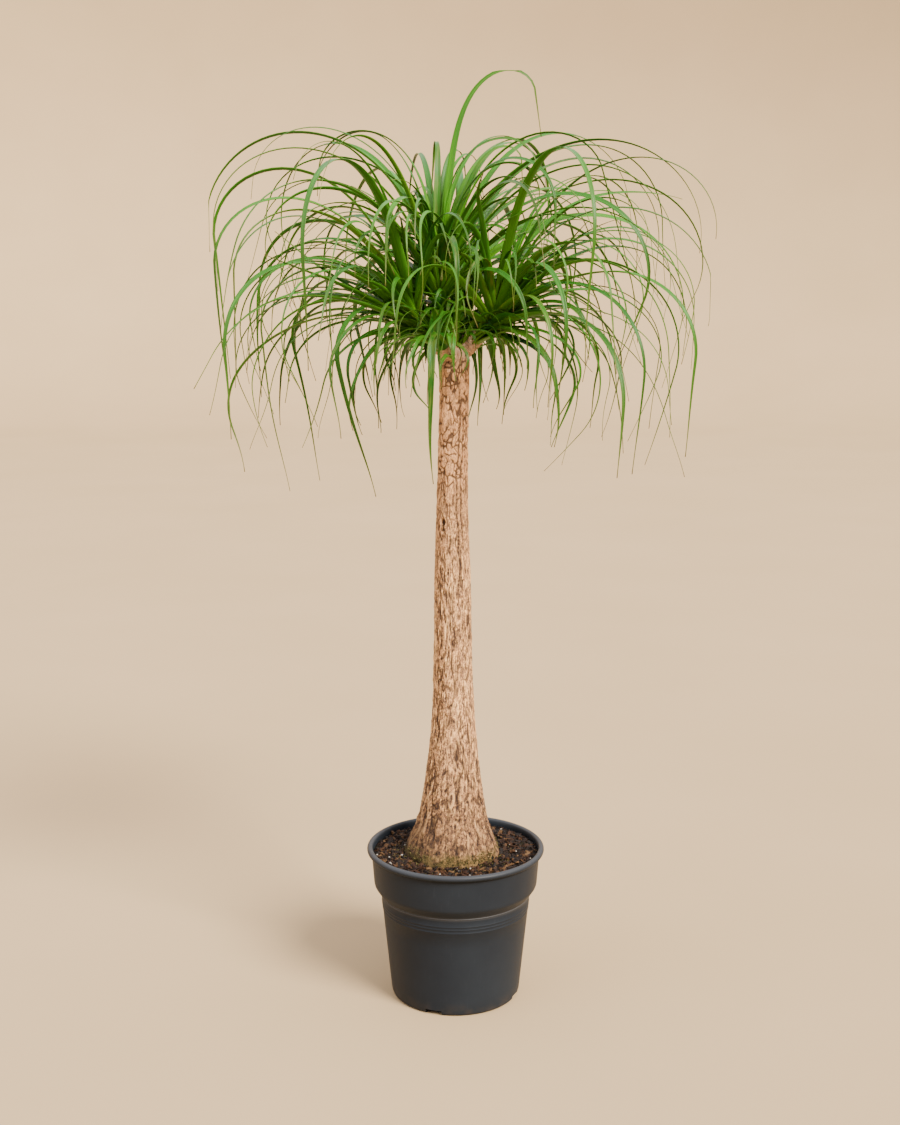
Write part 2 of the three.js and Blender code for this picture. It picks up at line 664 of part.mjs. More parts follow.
// The short leaf-base core of a head, which the leaves grow out of.
function makeCore(head) {
  const seat = seatOf(head);
  const profile = [
    [0, GAP],
    [STUB_RADIUS - CORE_FOOT_INSET, GAP],
    ...CORE_SHAPE.map(([breadth, height]) => [CORE_RADIUS * breadth, CORE_LENGTH * height]),
    [0, CORE_LENGTH],
  ];
  const beyond = seat.clone().sub(forkPoint).add(seat);
  return solidOf(along(turned(profile, STUB_SIDES), seat, beyond));
}

// Fused leaves can seal a small hollow between them or cut off a scrap: this keeps the main body, filled.
function mainBody(solid) {
  return solid.decompose().reduce((most, body) => (body.volume() > most.volume() ? body : most));
}

function makeHead(head, leaves) {
  return mainBody(leaves.reduce((rosette, leaf) => rosette.add(makeLeaf(leaf)), makeCore(head)));
}

// ---- The plant in its pot ----

const palm = new THREE.Group();
palm.add(piece("pot", makePot(), materials.pot));
palm.add(piece("potting_mix", makeSoil(), materials.soil));
const trunk = HEADS.reduce((wood, head) => wood.add(makeStub(head)), makeTrunk(0));
palm.add(piece("trunk", trunk, materials.bark));
for (const [head, leaves] of placeLeaves()) {
  palm.add(piece(`leaves_${head.name}`, makeHead(head, leaves), materials.leaf));
}

export default palm;
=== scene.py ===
"""A ponytail palm in a nursery pot: the finish of the pot, its potting mix, the corky trunk and the leaves.

Metres, +Z up, -Y to the front, with the origin in the middle of the pot's foot. The rule that grows the
leaves counts in millimetres and becomes metres when a leaf's blade is made.
"""

import math

import bmesh
import bpy
import numpy as np
from mathutils import Matrix, Vector, noise


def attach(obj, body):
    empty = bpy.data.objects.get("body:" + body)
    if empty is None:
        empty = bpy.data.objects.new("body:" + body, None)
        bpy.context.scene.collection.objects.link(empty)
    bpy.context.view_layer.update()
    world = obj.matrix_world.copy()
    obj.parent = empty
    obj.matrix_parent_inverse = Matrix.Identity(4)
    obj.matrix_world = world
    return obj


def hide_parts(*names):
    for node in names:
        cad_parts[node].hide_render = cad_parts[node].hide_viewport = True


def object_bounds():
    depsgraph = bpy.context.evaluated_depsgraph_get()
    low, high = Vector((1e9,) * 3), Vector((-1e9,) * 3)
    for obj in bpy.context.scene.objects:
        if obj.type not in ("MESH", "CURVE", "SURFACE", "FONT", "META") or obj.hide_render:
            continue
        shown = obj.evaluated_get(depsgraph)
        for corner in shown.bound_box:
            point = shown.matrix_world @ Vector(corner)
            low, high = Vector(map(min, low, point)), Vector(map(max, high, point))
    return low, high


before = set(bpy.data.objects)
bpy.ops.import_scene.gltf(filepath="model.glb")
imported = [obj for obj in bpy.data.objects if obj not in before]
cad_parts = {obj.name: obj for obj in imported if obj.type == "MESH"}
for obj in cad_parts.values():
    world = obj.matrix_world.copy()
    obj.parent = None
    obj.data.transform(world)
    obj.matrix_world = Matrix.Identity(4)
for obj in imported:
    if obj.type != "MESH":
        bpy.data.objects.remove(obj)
cad_box = [list(corner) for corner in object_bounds()]

# Camera: in front of the plant, a little above its middle and tilted down.
CAMERA_PLACE = (-0.0075, -1.9418, 0.9391)
CAMERA_TILT = math.radians(80)
CAMERA_LENS = 48

# Stage: a round floor whose edge curves up, a soft sun from the front right, a cool lamp from the left and a
# pale world. A lamp has its kind, place, power, colour and size, which is in degrees for a sun.
FLOOR_REACH = 9
FLOOR_BEND = 3.5
FLOOR_RISE = 6.5
FLOOR_SIDES = 96
LAMP_TARGET = (0, 0, 0.7)
LAMPS = [
    ("key", "SUN", (2.2, -2.4, 3.4), 13.4, (1.0, 0.91, 0.78), 24),
    ("fill", "AREA", (-2.4, -1.6, 1.6), 45, (0.8, 0.9, 1.0), 2.2),
]
WORLD_COLOUR = "f3eeee"
WORLD_STRENGTH = 2.9

# Pot: a thin moulded shell with a rolled lip, an upper band, a shoulder and a tapered body. The heights of
# rings are where the profile has points on its straight parts.
POT_SIDES = 144
POT_HEIGHT = 0.208
POT_WALL = 0.0018
LIP_RADIUS = 0.120
LIP_ROLL = 0.004
BAND_TOP_RADIUS = 0.114
BAND_FOOT_RADIUS = 0.1105
BAND_FOOT_Z = 0.1555
BAND_RINGS_OUTSIDE = (0.165, 0.178, 0.191)
BAND_RINGS_INSIDE = (0.200, 0.187, 0.171, BAND_FOOT_Z)
SHOULDER_RADIUS = 0.1015
SHOULDER_Z = 0.1435
SHOULDER_BEAD = 0.0009
SHOULDER_NECK = 0.003
STEP_RISE = 0.006
STEP_ROUNDING = 0.005
LIP_ROUNDING = 0.001
BODY_FOOT_RADIUS = 0.087
BODY_RINGS_OUTSIDE = (0.02, 0.05, 0.08, 0.10)
BODY_RINGS_INSIDE = (0.10, 0.06, 0.02)
CORNER_RADIUS = 0.005
INNER_CORNER_Z = 0.0086
FOLD_ANGLE = math.radians(38)
RIB_HEIGHTS = (0.131, 0.1268, 0.122)
RIB_SHAPE = ((-1, 0), (-0.4, 0.8), (0, 1), (0.4, 0.8), (1, 0))
RIB_WIDTH = 0.0018
RIB_RELIEF = 0.00045
FOOT_RING_RADIUS = 0.076
FOOT_RING_DRAFT = 0.0009
FLOOR_RECESS = 0.003
FLOOR_THICKNESS = 0.0022
SLOT_FIRST_ANGLE = math.radians(-110)
SLOT_COUNT = 4
SLOT_INNER_RADIUS = 0.077
SLOT_TOP = 0.007
SLOT_HALF_WIDTH = math.radians(7.4)
DRAIN_COUNT = 4
DRAIN_RADIUS = 0.007
DRAIN_EDGE = 0.0008
DRAIN_CIRCLE = 0.046
FLOOR_RINGS = 30
FLOOR_RING_STEP = 0.0025

# Potting mix: its uneven ground, and the chips, crumbs, fibres, grit and moss that lie on it.
SOIL_RIM_RADIUS = 0.1117
SOIL_EDGE_Z = 0.1975
SOIL_HEAP = 0.003
SOIL_RINGS = 44
SOIL_SIDES = 150
SOIL_UNEVENNESS = 0.0022
SOIL_GAP = 0.00035
SOIL_FOOT_INSET = 0.0072
SOIL_CORNER_Z = 0.0077
SOIL_WALL_INSET = 0.00215
LITTER_SEED = 5
LITTER_INNER_RADIUS = 0.052
LITTER_OUTER_RADIUS = 0.1095
CHIP_COUNT = 950
CHIP_LENGTH = (0.0032, 0.0105)
CHIP_WIDTH_SHARE = (0.35, 0.7)
CHIP_THICKNESS = (0.0014, 0.0034)
CHIP_BEVEL = 0.16
CRUMB_COUNT = 1300
CRUMB_WIDTH = (0.0012, 0.0042)
FIBRE_COUNT = 280
FIBRE_LENGTH = (0.006, 0.015)
FIBRE_WIDTH = (0.0006, 0.0013)
GRIT_COUNT = 36
GRIT_WIDTH = (0.0016, 0.0036)
ROUGHENING = 0.22
MOSS_SEED = 8
MOSS_BLADE_COUNT = 1100
MOSS_BLADE_LENGTH = (0.0014, 0.0034)
MOSS_BLADE_RADII = (0.0006, 0.0001)
MOSS_CLIMB = 0.018
MOSS_SPREAD = 0.020
MOSS_ROOT_DEPTH = 0.002
MOSS_TOP = 0.045

# Trunk: slender, swollen and flared at its foot, with a rounded end buried in the mix.
SOIL_LINE = 0.2015
TRUNK_TOP = 0.876
FOOT_DEPTH = 0.078
FOOT_ROUNDING = 0.85
TOP_RADIUS = 0.0186
SHAFT_SWELL = 0.0066
SHAFT_MIDDLE = 0.625
SHAFT_BLEND = 0.045
FLARE_SWELL = 0.020
FLARE_LENGTH = 0.135
TOE_SWELL = 0.017
TOE_LENGTH = 0.032
TOE_CURVE = 1.5
TOE_FORWARD = 0.006
LEAN_FOOT_Z = 0.188
TRUNK_FOOT_X = -0.005
TRUNK_TOP_X = -0.002
TRUNK_SWAY = 0.0016
TRUNK_WAVES = 1.1
TRUNK_SIDES = 184
TRUNK_RINGS = 530
TRUNK_RING_CURVE = 0.86
BARK_ROUND = 0.03
ROOT_RELIEF = 0.0022
ROOT_RIBS = 4
TOP_DOME = 0.006
TRUNK_BURIED = 0.045
YOUNG_BARK_FROM = 0.60
YOUNG_BARK_FULLY = 0.72
# Heights over which the top of the trunk is painted paler and greyer, to offset the warm shade under the
# leaves.
SHADE_TINT_FROM = 0.845
SHADE_TINT_FULLY = 0.885

# Bark: how far its patterns and marks stand out of the trunk or sink into it.
OLD_RELIEF = dict(ridge=0.0011, fissure=0.0012, broad=0.0008, pit=0.0011, flake=0.0008, crumb=0.0006)
YOUNG_RELIEF = dict(crack=0.0011, small=0.0006, wrinkle=0.0005, pit=0.0011, grain=0.0003, dome=0.0014)
MARK_RELIEF = dict(seam=0.0016, scar=0.0008, knot=0.0042, lip=0.0010)

# One-off marks on the trunk. A seam has its heading in degrees, its lower and upper end and its half width.
# A ring scar has its height, the heading of its middle in degrees and how far it reaches, in radians.
SEAMS = [
    (-70, 0.545, 0.850, 0.0029),
    (-53, 0.600, 0.815, 0.0019),
    (-36, 0.700, 0.800, 0.0018),
    (-122, 0.655, 0.740, 0.0023),
    (-101, 0.590, 0.660, 0.0020),
]
RING_SCARS = [
    (0.829, -105, 0.9),
    (0.846, -70, 0.8),
    (0.808, -60, 0.5),
    (0.742, -100, 0.6),
    (0.712, -75, 0.5),
]
SCAR_HALF_HEIGHT = 0.0016
KNOT_HEADING = math.radians(-124)
KNOT_Z = 0.649
KNOT_HALF_WIDTH = 0.0038
KNOT_HALF_HEIGHT = 0.0120
KNOT_LIP_Z = 0.652
KNOT_LIP_HALF_HEIGHT = 0.0100

# Heads of leaves, in millimetres: the seat at the end of each stub, how far the leaves lean away from the
# trunk, how many there would be with room for all, the oldest and youngest leaf's launch angle in degrees,
# and the scale of the leaves.
FORK_DEPTH = 16
STUB_RADIUS = 9.5
STUB_RINGS = 46
STUB_SIDES = 40
STUB_SCAR_STEP = 0.0052
STUB_SCAR_RELIEF = 0.0011
CORE_LENGTH = 34
CORE_RADIUS = 12
CORE_SIDES = 20
CORE_SHAPE = ((0.80, 0.0), (0.92, 0.12), (1.0, 0.3), (0.92, 0.5), (0.8, 0.7), (0.6, 0.88), (0.32, 1.0))
CORE_UV = (0.25, 0.30)
HEADS = {
    "centre": dict(seat=(-16, 4, 920), lean=0, leaves=52, oldest=20, youngest=89, scale=1),
    "left": dict(seat=(-36, -2, 892), lean=0.45, leaves=46, oldest=-6, youngest=84, scale=0.95),
    "right": dict(seat=(32, -5, 894), lean=0.45, leaves=38, oldest=-6, youngest=86, scale=0.95),
    "back": dict(seat=(6, 34, 898), lean=0.45, leaves=46, oldest=-6, youngest=84, scale=1),
    "front": dict(seat=(-16, -29, 882), lean=0.5, leaves=12, oldest=0, youngest=64, scale=0.4),
}

# Leaves that fill each head: how many there are of each kind, and their spans. A draw or the age picks a
# value between the ends of a span. Lengths are in millimetres, and launch and end in degrees.
FILLING = {
    "centre": dict(slim=34, spears=40, skirt=6, sheath=24),
    "left": dict(slim=26, spears=26, skirt=5, sheath=18),
    "right": dict(slim=30, spears=30, skirt=4, sheath=20),
    "back": dict(slim=14, spears=24, skirt=2, sheath=12),
    "front": dict(slim=0, spears=12, skirt=3, sheath=18),
}
SLIM = dict(length=0.94, width=(0.5, 0.8))
SPEAR = dict(age=(0.25, 1.0), length=(240, 110), length_chance=(0.7, 1.2), width=(1.15, 0.7),
             bend=(1.4, 3.0), end=(-80, 40))
SKIRT = dict(age=0.1, root=(-6, 8), launch=(0, 45), length=(45, 120), width=(0.6, 0.9), bend=(0.7, 1.2))
SHEATH = dict(age=0.3, splay=(0.25, 0.8), root=(14, 66), length=(42, 150), width=(8.5, 13.5),
              bend=(1.3, 2.2), hang_from=(0.7, 1.0), twist=(-0.3, 0.3))
YOUNG_FRESHNESS = 0.65

# Leaves, in millimetres and degrees: straps that taper to threads, with a slight wave towards their ends.
LEAF_SEED = 2024
SLIM_SEED = 77
LEAF_LENGTH = 530
LEAF_WIDTH = 14
LEAF_TIP_WIDTH = 0.9
BLADE_FULLNESS = 0.84
BLADE_COLUMNS = 4
LEAF_KEEL = 0.17
LEAF_THICKNESS = 0.00045
SPINE_STEPS = 48
WAVE_HEIGHT = 5
WAVE_BY_AGE = (2.6, 0.8)
TALLEST_LEAF_ROLL = 1.5
ROOT_INSET = 4
ROOT_RISE = 3
ROOT_BELOW_TIP = 7

# How leaves differ: by age in their head, by how steeply they start and by chance.
GOLDEN_ANGLE = 137.50776
OLD_AGE = 0.25
YOUNG_AGE = 0.8
OLD_LOSS = 0.45
YOUNG_LOSS = 0.5
FRONT_LOSS = 0.35
FLAT_LOSS = 0.38
FACING_LOSS = 0.22
FRONT_LAUNCH = 75
FRONT_LIFT = 0.8
FRONT_NARROWNESS = 8
AGE_CURVE = 0.8
END_ANGLE = -92
BEND = dict(least=1.5, steep=0.4, young=1.2)
HANG_FROM = dict(least=0.70, steep=0.22)
CHANCE = dict(turn=0.35, climb=0.28, length=0.40, width=0.4, end=56, bend=0.5, hang=0.20, sway=0.9,
              twist=1.6, roll=2.4)
OUTLINE_WIDTH_CHANCE = 0.25
OUTLINE_ROLL_CHANCE = 1.6

# Room that a leaf keeps from other heads and from wood, and the space that the crown fills.
PLACING_TRIES = 60
TRY_TURN = 0.37
TRY_LOSS = 0.01
CLEAR_CELL = 6
WOOD_ROOM = 8
ROOT_ROOM = 2.5
ROOT_STEPS = 5
CROWN_REACH = 318
CROWN_TOP = 1165
CROWN_SKIRT = 705
BOX_MARGIN = 0.0005
CROWN_BOX = [[each + BOX_MARGIN for each in cad_box[0]], [each - BOX_MARGIN for each in cad_box[1]]]

# The leaves that draw the outline of the crown: head, heading, launch angle, length, end angle, bend, the
# share of the length from which it hangs, sway and twist, which are 0 where a row ends before them.
OUTLINE_LEAVES = [
    ("centre", 0, 85, 404, -82, 5.2, 0.86, 0, 125),
    ("centre", 95, 88, 285, -85, 6, 0.82, 0, 10),
    ("centre", 68, 84, 290, -85, 5, 0.82, 0, 20),
    ("centre", 5, 75, 277, -84, 6, 0.86, 0, 115),
    ("centre", 167, 77, 523, -96, 1.6, 0.95, 0, 20),
    ("centre", 162, 86, 365, -86, 2.6, 0.9, 8, -30),
    ("centre", 192, 72, 505, -90, 1.7, 0.85, -8),
    ("left", 175, 73, 590, -96, 2.0, 0.7, 0, 15),
    ("left", 193, 67, 530, -94, 1.9, 0.7),
    ("left", 208, 65, 480, -88, 1.8, 0.72, 0, 20),
    ("left", 160, 60, 430, -88, 1.7, 0.7, 6),
    ("left", 186, 52, 475, -98, 1.6, 0.57, 10),
    ("left", 155, 36, 425, -104, 1.9, 0.58),
    ("left", 216, 50, 350, -106, 1.1, 0.5),
    ("right", -24, 70, 440, -98, 2.0, 1.0),
    ("right", 22, 88, 350, -16, 0.8, 1.0),
    ("right", -4, 72, 440, -100, 1.4, 0.95),
    ("centre", -12, 76, 530, -76, 2.4, 0.66, 8, 20),
    ("right", 12, 57, 430, -90, 1.5, 0.85),
    ("right", -18, 59, 475, -105, 1.2, 0.74),
    ("right", 20, 52, 300, -78, 1.1, 0.7),
    ("right", -26, 46, 345, -132, 0.9, 0.8),
    ("back", 92, 77, 545, -97, 1.8, 0.8),
    ("back", 72, 68, 530, -94, 1.6, 0.8, 6),
    ("back", 114, 70, 535, -98, 1.6, 0.82, -6),
    ("right", -73, 64, 610, -95, 1.9, 0.8),
    ("left", -110, 63, 600, -95, 1.9, 0.8),
    ("centre", -80, 72, 270, -92, 1.5, 0.7, 0, -25),
    ("centre", -118, 84, 290, -80, 1.9, 0.75, 0, 40),
    ("centre", -98, 12, 275, -98, 0.8, 0.6),
]

MM = 0.001

# Noise vectors, which bend the bark's pattern and roughen the litter, start from the clock without a seed.
NOISE_SEED = 7
noise.seed_set(NOISE_SEED)


# ---- Small helpers ----


def mix(a, b, share):
    return a + (b - a) * share


def smooth(low, high, value):
    """0 below low, 1 above high, and a smooth rise between."""
    share = min(1, max(0, (value - low) / (high - low)))
    return share * share * (3 - 2 * share)


def seeded_draw(seed):
    """A repeatable draw of numbers from 0 to 1."""
    state = seed

    def draw():
        nonlocal state
        state = (state * 1664525 + 1013904223) & 0xFFFFFFFF
        return state / 2**32

    return draw


def tint(code):
    """A colour from its six-figure code, as the shader wants it."""
    parts = [int(code[i : i + 2], 16) / 255 for i in (0, 2, 4)]
    linear = [p / 12.92 if p <= 0.04045 else ((p + 0.055) / 1.055) ** 2.4 for p in parts]
    return (*linear, 1)


def join(whole, part):
    """Moves a small shape into a large piece and returns the points that it added."""
    mesh = bpy.data.meshes.new("part")
    part.to_mesh(mesh)
    part.free()
    before = len(whole.verts)
    whole.from_mesh(mesh)
    bpy.data.meshes.remove(mesh)
    whole.verts.ensure_lookup_table()
    return whole.verts[before:]


def linked(name, data):
    """A new object in the scene."""
    made = bpy.data.objects.new(name, data)
    bpy.context.scene.collection.objects.link(made)
    return made


def meshed(name, bm, material, smooth_shaded=True):
    """Turns a bmesh into an object with its finish."""
    for face in bm.faces:
        face.smooth = smooth_shaded
    mesh = bpy.data.meshes.new(name)
    bm.to_mesh(mesh)
    bm.free()
    mesh.materials.append(material)
    return linked(name, mesh)


def finished(name, bm, material, node, smooth_shaded=True):
    """Turns a bmesh into a piece of the plant that stands for a CAD node."""
    piece = meshed(name, bm, material, smooth_shaded)
    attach(piece, "root")
    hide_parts(node)
    return piece


# ---- Finishes ----


def new_finish(name, **sockets):
    """A material with one shader, whose plain values are set on its own sockets."""
    material = bpy.data.materials.new(name)
    material.use_nodes = True
    shader = material.node_tree.nodes["Principled BSDF"]
    for socket, value in sockets.items():
        shader.inputs[socket.replace("_", " ")].default_value = value
    return material, material.node_tree, shader


def add(tree, kind, settings=None, **inputs):
    """A node with its settings, and its inputs either set or linked."""
    node = tree.nodes.new("ShaderNode" + kind)
    for name, value in (settings or {}).items():
        setattr(node, name, value)
    for name, value in inputs.items():
        socket = node.inputs[name.replace("_", " ")]
        if isinstance(value, bpy.types.NodeSocket):
            tree.links.new(value, socket)
        else:
            socket.default_value = value
    return node


def scaled(tree, place, scale):
    """A place whose pattern is squeezed along an axis, or drawn out where the scale is under 1."""
    return add(tree, "Mapping", Vector=place, Scale=scale).outputs["Vector"]


def place_of(tree, scale=(1, 1, 1)):
    """Object coordinates, squeezed or drawn out."""
    return scaled(tree, add(tree, "TexCoord").outputs["Object"], scale)


def pattern(tree, place, scale, detail=4, roughness=0.55):
    """A cloudy pattern from 0 to 1."""
    clouds = add(tree, "TexNoise", Vector=place, Scale=scale, Detail=detail, Roughness=roughness)
    return clouds.outputs["Fac"]


def ramp(tree, value, stops):
    """Colours or shares at places from 0 to 1."""
    node = add(tree, "ValToRGB", Fac=value)
    elements = node.color_ramp.elements
    while len(elements) < len(stops):
        elements.new(1)
    for element, (place, colour) in zip(elements, stops):
        element.position = place
        element.color = tint(colour) if isinstance(colour, str) else (colour, colour, colour, 1)
    return node.outputs["Color"]


def blend(tree, share, low, high, kind="MIX"):
    """Mixes two colours by a share. A colour is a code or a socket."""
    low, high = (tint(each) if isinstance(each, str) else each for each in (low, high))
    return add(tree, "MixRGB", {"blend_type": kind}, Fac=share, Color1=low, Color2=high).outputs["Color"]


def maths(tree, operation, first, second=0.0):
    node = tree.nodes.new("ShaderNodeMath")
    node.operation = operation
    for socket, value in zip(node.inputs, (first, second)):
        if isinstance(value, bpy.types.NodeSocket):
            tree.links.new(value, socket)
        else:
            socket.default_value = value
    return node.outputs["Value"]


def attribute(tree, name):
    """Three numbers that a piece carries on its vertices."""
    colour = add(tree, "Attribute", {"attribute_name": name}).outputs["Color"]
    return add(tree, "SeparateColor", Color=colour).outputs


def cracks(tree, place, scale, width):
    """1 on the lines between cells of a size, and 0 a width away from them."""
    cells = add(tree, "TexVoronoi", {"feature": "DISTANCE_TO_EDGE"}, Vector=place, Scale=scale)
    return ramp(tree, cells.outputs["Distance"], [(0.0, 1.0), (width, 0.0)])


def dress(tree, shader, colour=None, roughness=None, height=None, depth=0.001, strength=1.0):
    """Links a finish's colour, roughness and relief to its shader."""
    if colour is not None:
        tree.links.new(colour, shader.inputs["Base Color"])
    if roughness is not None:
        tree.links.new(roughness, shader.inputs["Roughness"])
    if height is not None:
        bump = add(tree, "Bump", Height=height, Distance=depth, Strength=strength)
        tree.links.new(bump.outputs["Normal"], shader.inputs["Normal"])


def plastic_finish():
    """Charcoal polypropylene: a fine moulded grain, dull patches, faint upright scuffs, dust low down, and a
    painted highlight on the shoulder's bead and on the lip."""
    material, tree, shader = new_finish("charcoal plastic", Specular_IOR_Level=0.10)
    place = place_of(tree)
    patches = pattern(tree, place, 9, 5)
    scuffs = pattern(tree, place_of(tree, (420, 420, 14)), 1, 3, 0.7)
    grain = pattern(tree, place, 1900, 2)
    height = add(tree, "SeparateXYZ", Vector=place).outputs["Z"]
    base = blend(tree, ramp(tree, patches, [(0.3, 0.0), (0.7, 1.0)]), "171b21", "1d2228")
    scuffed = blend(tree, ramp(tree, scuffs, [(0.60, 0.0), (0.80, 0.35)]), base, "2d3138")
    low = ramp(tree, maths(tree, "DIVIDE", height, POT_HEIGHT), [(0.0, 0.5), (0.10, 0.0)])
    specks = ramp(tree, pattern(tree, place, 55, 6), [(0.42, 0.0), (0.62, 1.0)])
    # Painted highlight: a pale line along the shoulder's bead.
    bead = maths(tree, "ABSOLUTE", maths(tree, "SUBTRACT", height, SHOULDER_Z - SHOULDER_BEAD))
    pale_marked = blend(tree, ramp(tree, bead, [(0.0, 0.45), (0.0014, 0.0)]), scuffed, "4c4c4e")
    # Painted highlight: a paler band round the top of the lip.
    lip = ramp(tree, height, [(POT_HEIGHT - 0.0028, 0.0), (POT_HEIGHT - 0.0006, 0.3)])
    lip_highlighted = blend(tree, lip, pale_marked, "4c4e53")
    colour = blend(tree, maths(tree, "MULTIPLY", low, specks), lip_highlighted, "39322d")
    roughness = ramp(tree, patches, [(0.25, 0.40), (0.75, 0.54)])
    dress(tree, shader, colour, roughness, grain, 0.00012, 0.5)
    return material


def soil_finish():
    """Peat between the chips: its dark brown, painted nearly black with the shade of the gaps between the
    chips, with russet fibres and some green bloom.
    """
    material, tree, shader = new_finish("peat with painted shade", Specular_IOR_Level=0.12)
    place = place_of(tree)
    crumbs = pattern(tree, place, 420, 6, 0.7)
    bloom = pattern(tree, place, 34, 4)
    # Partly painted shade: the peat's brown is taken nearly to black, for the shade in the gaps between the
    # chips.
    base = ramp(tree, crumbs, [(0.30, "030201"), (0.50, "090403"), (0.68, "180c04"), (0.80, "2a180a")])
    colour = blend(tree, ramp(tree, bloom, [(0.56, 0.0), (0.72, 0.55)]), base, "20200a")
    dress(tree, shader, colour, ramp(tree, crumbs, [(0.3, 0.95), (0.7, 0.7)]), crumbs, 0.002, 0.9)
    return material


def litter_finish():
    """Bark chips and crumbs. Each carries its own tone, from black-brown through russet to tan."""
    material, tree, shader = new_finish("bark chips", Specular_IOR_Level=0.2)
    tone = attribute(tree, "tone")["Red"]
    stops = [(0.0, "050201"), (0.35, "120602"), (0.62, "241004"), (0.82, "351e0a"), (0.96, "513a21")]
    fibre = pattern(tree, place_of(tree), 620, 4, 0.65)
    colour = blend(tree, ramp(tree, fibre, [(0.35, 0.55), (0.6, 0.0)]), ramp(tree, tone, stops), "090402")
    dress(tree, shader, colour, ramp(tree, fibre, [(0.3, 0.55), (0.7, 0.85)]), fibre, 0.0008, 0.8)
    return material


def grit_finish():
    """Expanded volcanic grit: off-white, dusty and pitted."""
    material, tree, shader = new_finish("white grit", Specular_IOR_Level=0.3)
    pits = pattern(tree, place_of(tree), 1100, 3)
    dress(tree, shader, ramp(tree, pits, [(0.3, "5f584c"), (0.6, "8d8a85")]), None, pits, 0.0005, 0.8)
    shader.inputs["Roughness"].default_value = 0.85
    return material


def moss_finish():
    """Moss: each blade carries its own tone, from deep to yellow green."""
    material, tree, shader = new_finish("cushion moss", Specular_IOR_Level=0.25, Roughness=0.8)
    tone = attribute(tree, "tone")["Red"]
    mottle = pattern(tree, place_of(tree), 260, 3)
    base = ramp(tree, tone, [(0.0, "1f1b0a"), (0.5, "423c1c"), (0.85, "60572c"), (1.0, "776d42")])
    dress(tree, shader, blend(tree, ramp(tree, mottle, [(0.35, 0.6), (0.6, 0.0)]), base, "1b160b"))
    return material


def bark_finish(name):
    """Bark: the piece carries how deep each fissure is, how raised each ridge is, where moss grows and where
    the bark is young. Fine flakes and streaks cover old bark, and a net of hair cracks covers young bark.
    The top is painted paler and greyer to offset the leaves' warm shade, and the foot is painted darker with
    shade, most on its left side."""
    material, tree, shader = new_finish(name, Specular_IOR_Level=0.2)
    marks = attribute(tree, "bark")
    young = add(tree, "Attribute", {"attribute_name": "bark"}).outputs["Alpha"]
    straight = add(tree, "Attribute", {"attribute_name": "straight"}).outputs["Vector"]
    mottle = pattern(tree, straight, 42, 5)
    flakes = pattern(tree, scaled(tree, straight, (1, 1, 0.6)), 520, 4, 0.75)
    streaks = pattern(tree, scaled(tree, straight, (1, 1, 0.17)), 520, 4, 0.75)
    wander = add(tree, "TexNoise", Vector=straight, Scale=90, Detail=3).outputs["Color"]
    moved = blend(tree, 0.022, straight, wander, "ADD")
    net = cracks(tree, scaled(tree, moved, (1, 1, 0.7)), 150, 0.04)
    old = ramp(tree, mottle, [(0.30, "a87b58"), (0.48, "be8c62"), (0.62, "cd996b"), (0.75, "b88563")])
    fresh = ramp(tree, mottle, [(0.30, "d79e70"), (0.50, "e8ac79"), (0.70, "f6ba86")])
    base = blend(tree, young, old, fresh)
    roughed = maths(tree, "SUBTRACT", 1.0, maths(tree, "MULTIPLY", young, 0.6))
    dark_flakes = maths(tree, "MULTIPLY", ramp(tree, flakes, [(0.42, 0.9), (0.462, 0.0)]), roughed)
    specks = blend(tree, dark_flakes, base, "463833")
    pale_marked = blend(tree, ramp(tree, flakes, [(0.555, 0.0), (0.585, 0.95)]), specks, "ffc581")
    streaked = blend(tree, ramp(tree, streaks, [(0.42, 0.85), (0.458, 0.0)]), pale_marked, "453834")
    pale = blend(tree, ramp(tree, streaks, [(0.56, 0.0), (0.59, 0.95)]), streaked, "ffca89")
    plain = blend(tree, young, pale, pale_marked)
    netted_share = maths(tree, "MULTIPLY", net, maths(tree, "MULTIPLY", young, 0.6))
    lined = blend(tree, netted_share, plain, "6a4937")
    ridged = blend(tree, ramp(tree, marks["Green"], [(0.35, 0.0), (0.9, 0.8)]), lined, "ffcc8e")
    cut = maths(tree, "MULTIPLY", ramp(tree, marks["Red"], [(0.10, 0.0), (0.75, 0.95)]),
                maths(tree, "SUBTRACT", 1.0, maths(tree, "MULTIPLY", young, 0.1)))
    side = add(tree, "SeparateXYZ", Vector=straight).outputs
    # Painted light: the top is painted paler and greyer, to offset the warm shade under the leaves.
    leaf_shade_tint = ramp(tree, side["Z"], [(SHADE_TINT_FROM, 0.0), (SHADE_TINT_FULLY, 0.65)])
    leaf_shade_tinted = blend(tree, leaf_shade_tint, ridged, "cdbbae")
    split = blend(tree, cut, leaf_shade_tinted, "3a2a22")
    # Painted shade: darker bark near the soil, and darker still on the left side of the foot, its shaded
    # side.
    left = ramp(tree, maths(tree, "MULTIPLY", side["X"], -30.0), [(0.0, 0.25), (0.6, 1.0)])
    above = maths(tree, "SUBTRACT", side["Z"], SOIL_LINE)
    shade = ramp(tree, above, [(0.0, 1.0), (0.06, 0.75), (0.20, 0.0)])
    foot_shaded = blend(tree, shade, split, "9c989a", "MULTIPLY")
    low = ramp(tree, above, [(0.0, 1.0), (0.07, 0.0)])
    left_foot_shaded = blend(tree, maths(tree, "MULTIPLY", maths(tree, "MULTIPLY", left, low), 0.85), foot_shaded, "261c14")
    mossy = blend(tree, ramp(tree, marks["Blue"], [(0.15, 0.0), (0.8, 0.5)]), left_foot_shaded, "48421c")
    rough = maths(tree, "SUBTRACT", maths(tree, "ADD", flakes, streaks), netted_share)
    dress(tree, shader, mossy, ramp(tree, flakes, [(0.3, 0.95), (0.7, 0.78)]), rough, 0.0026, 1.0)
    return material


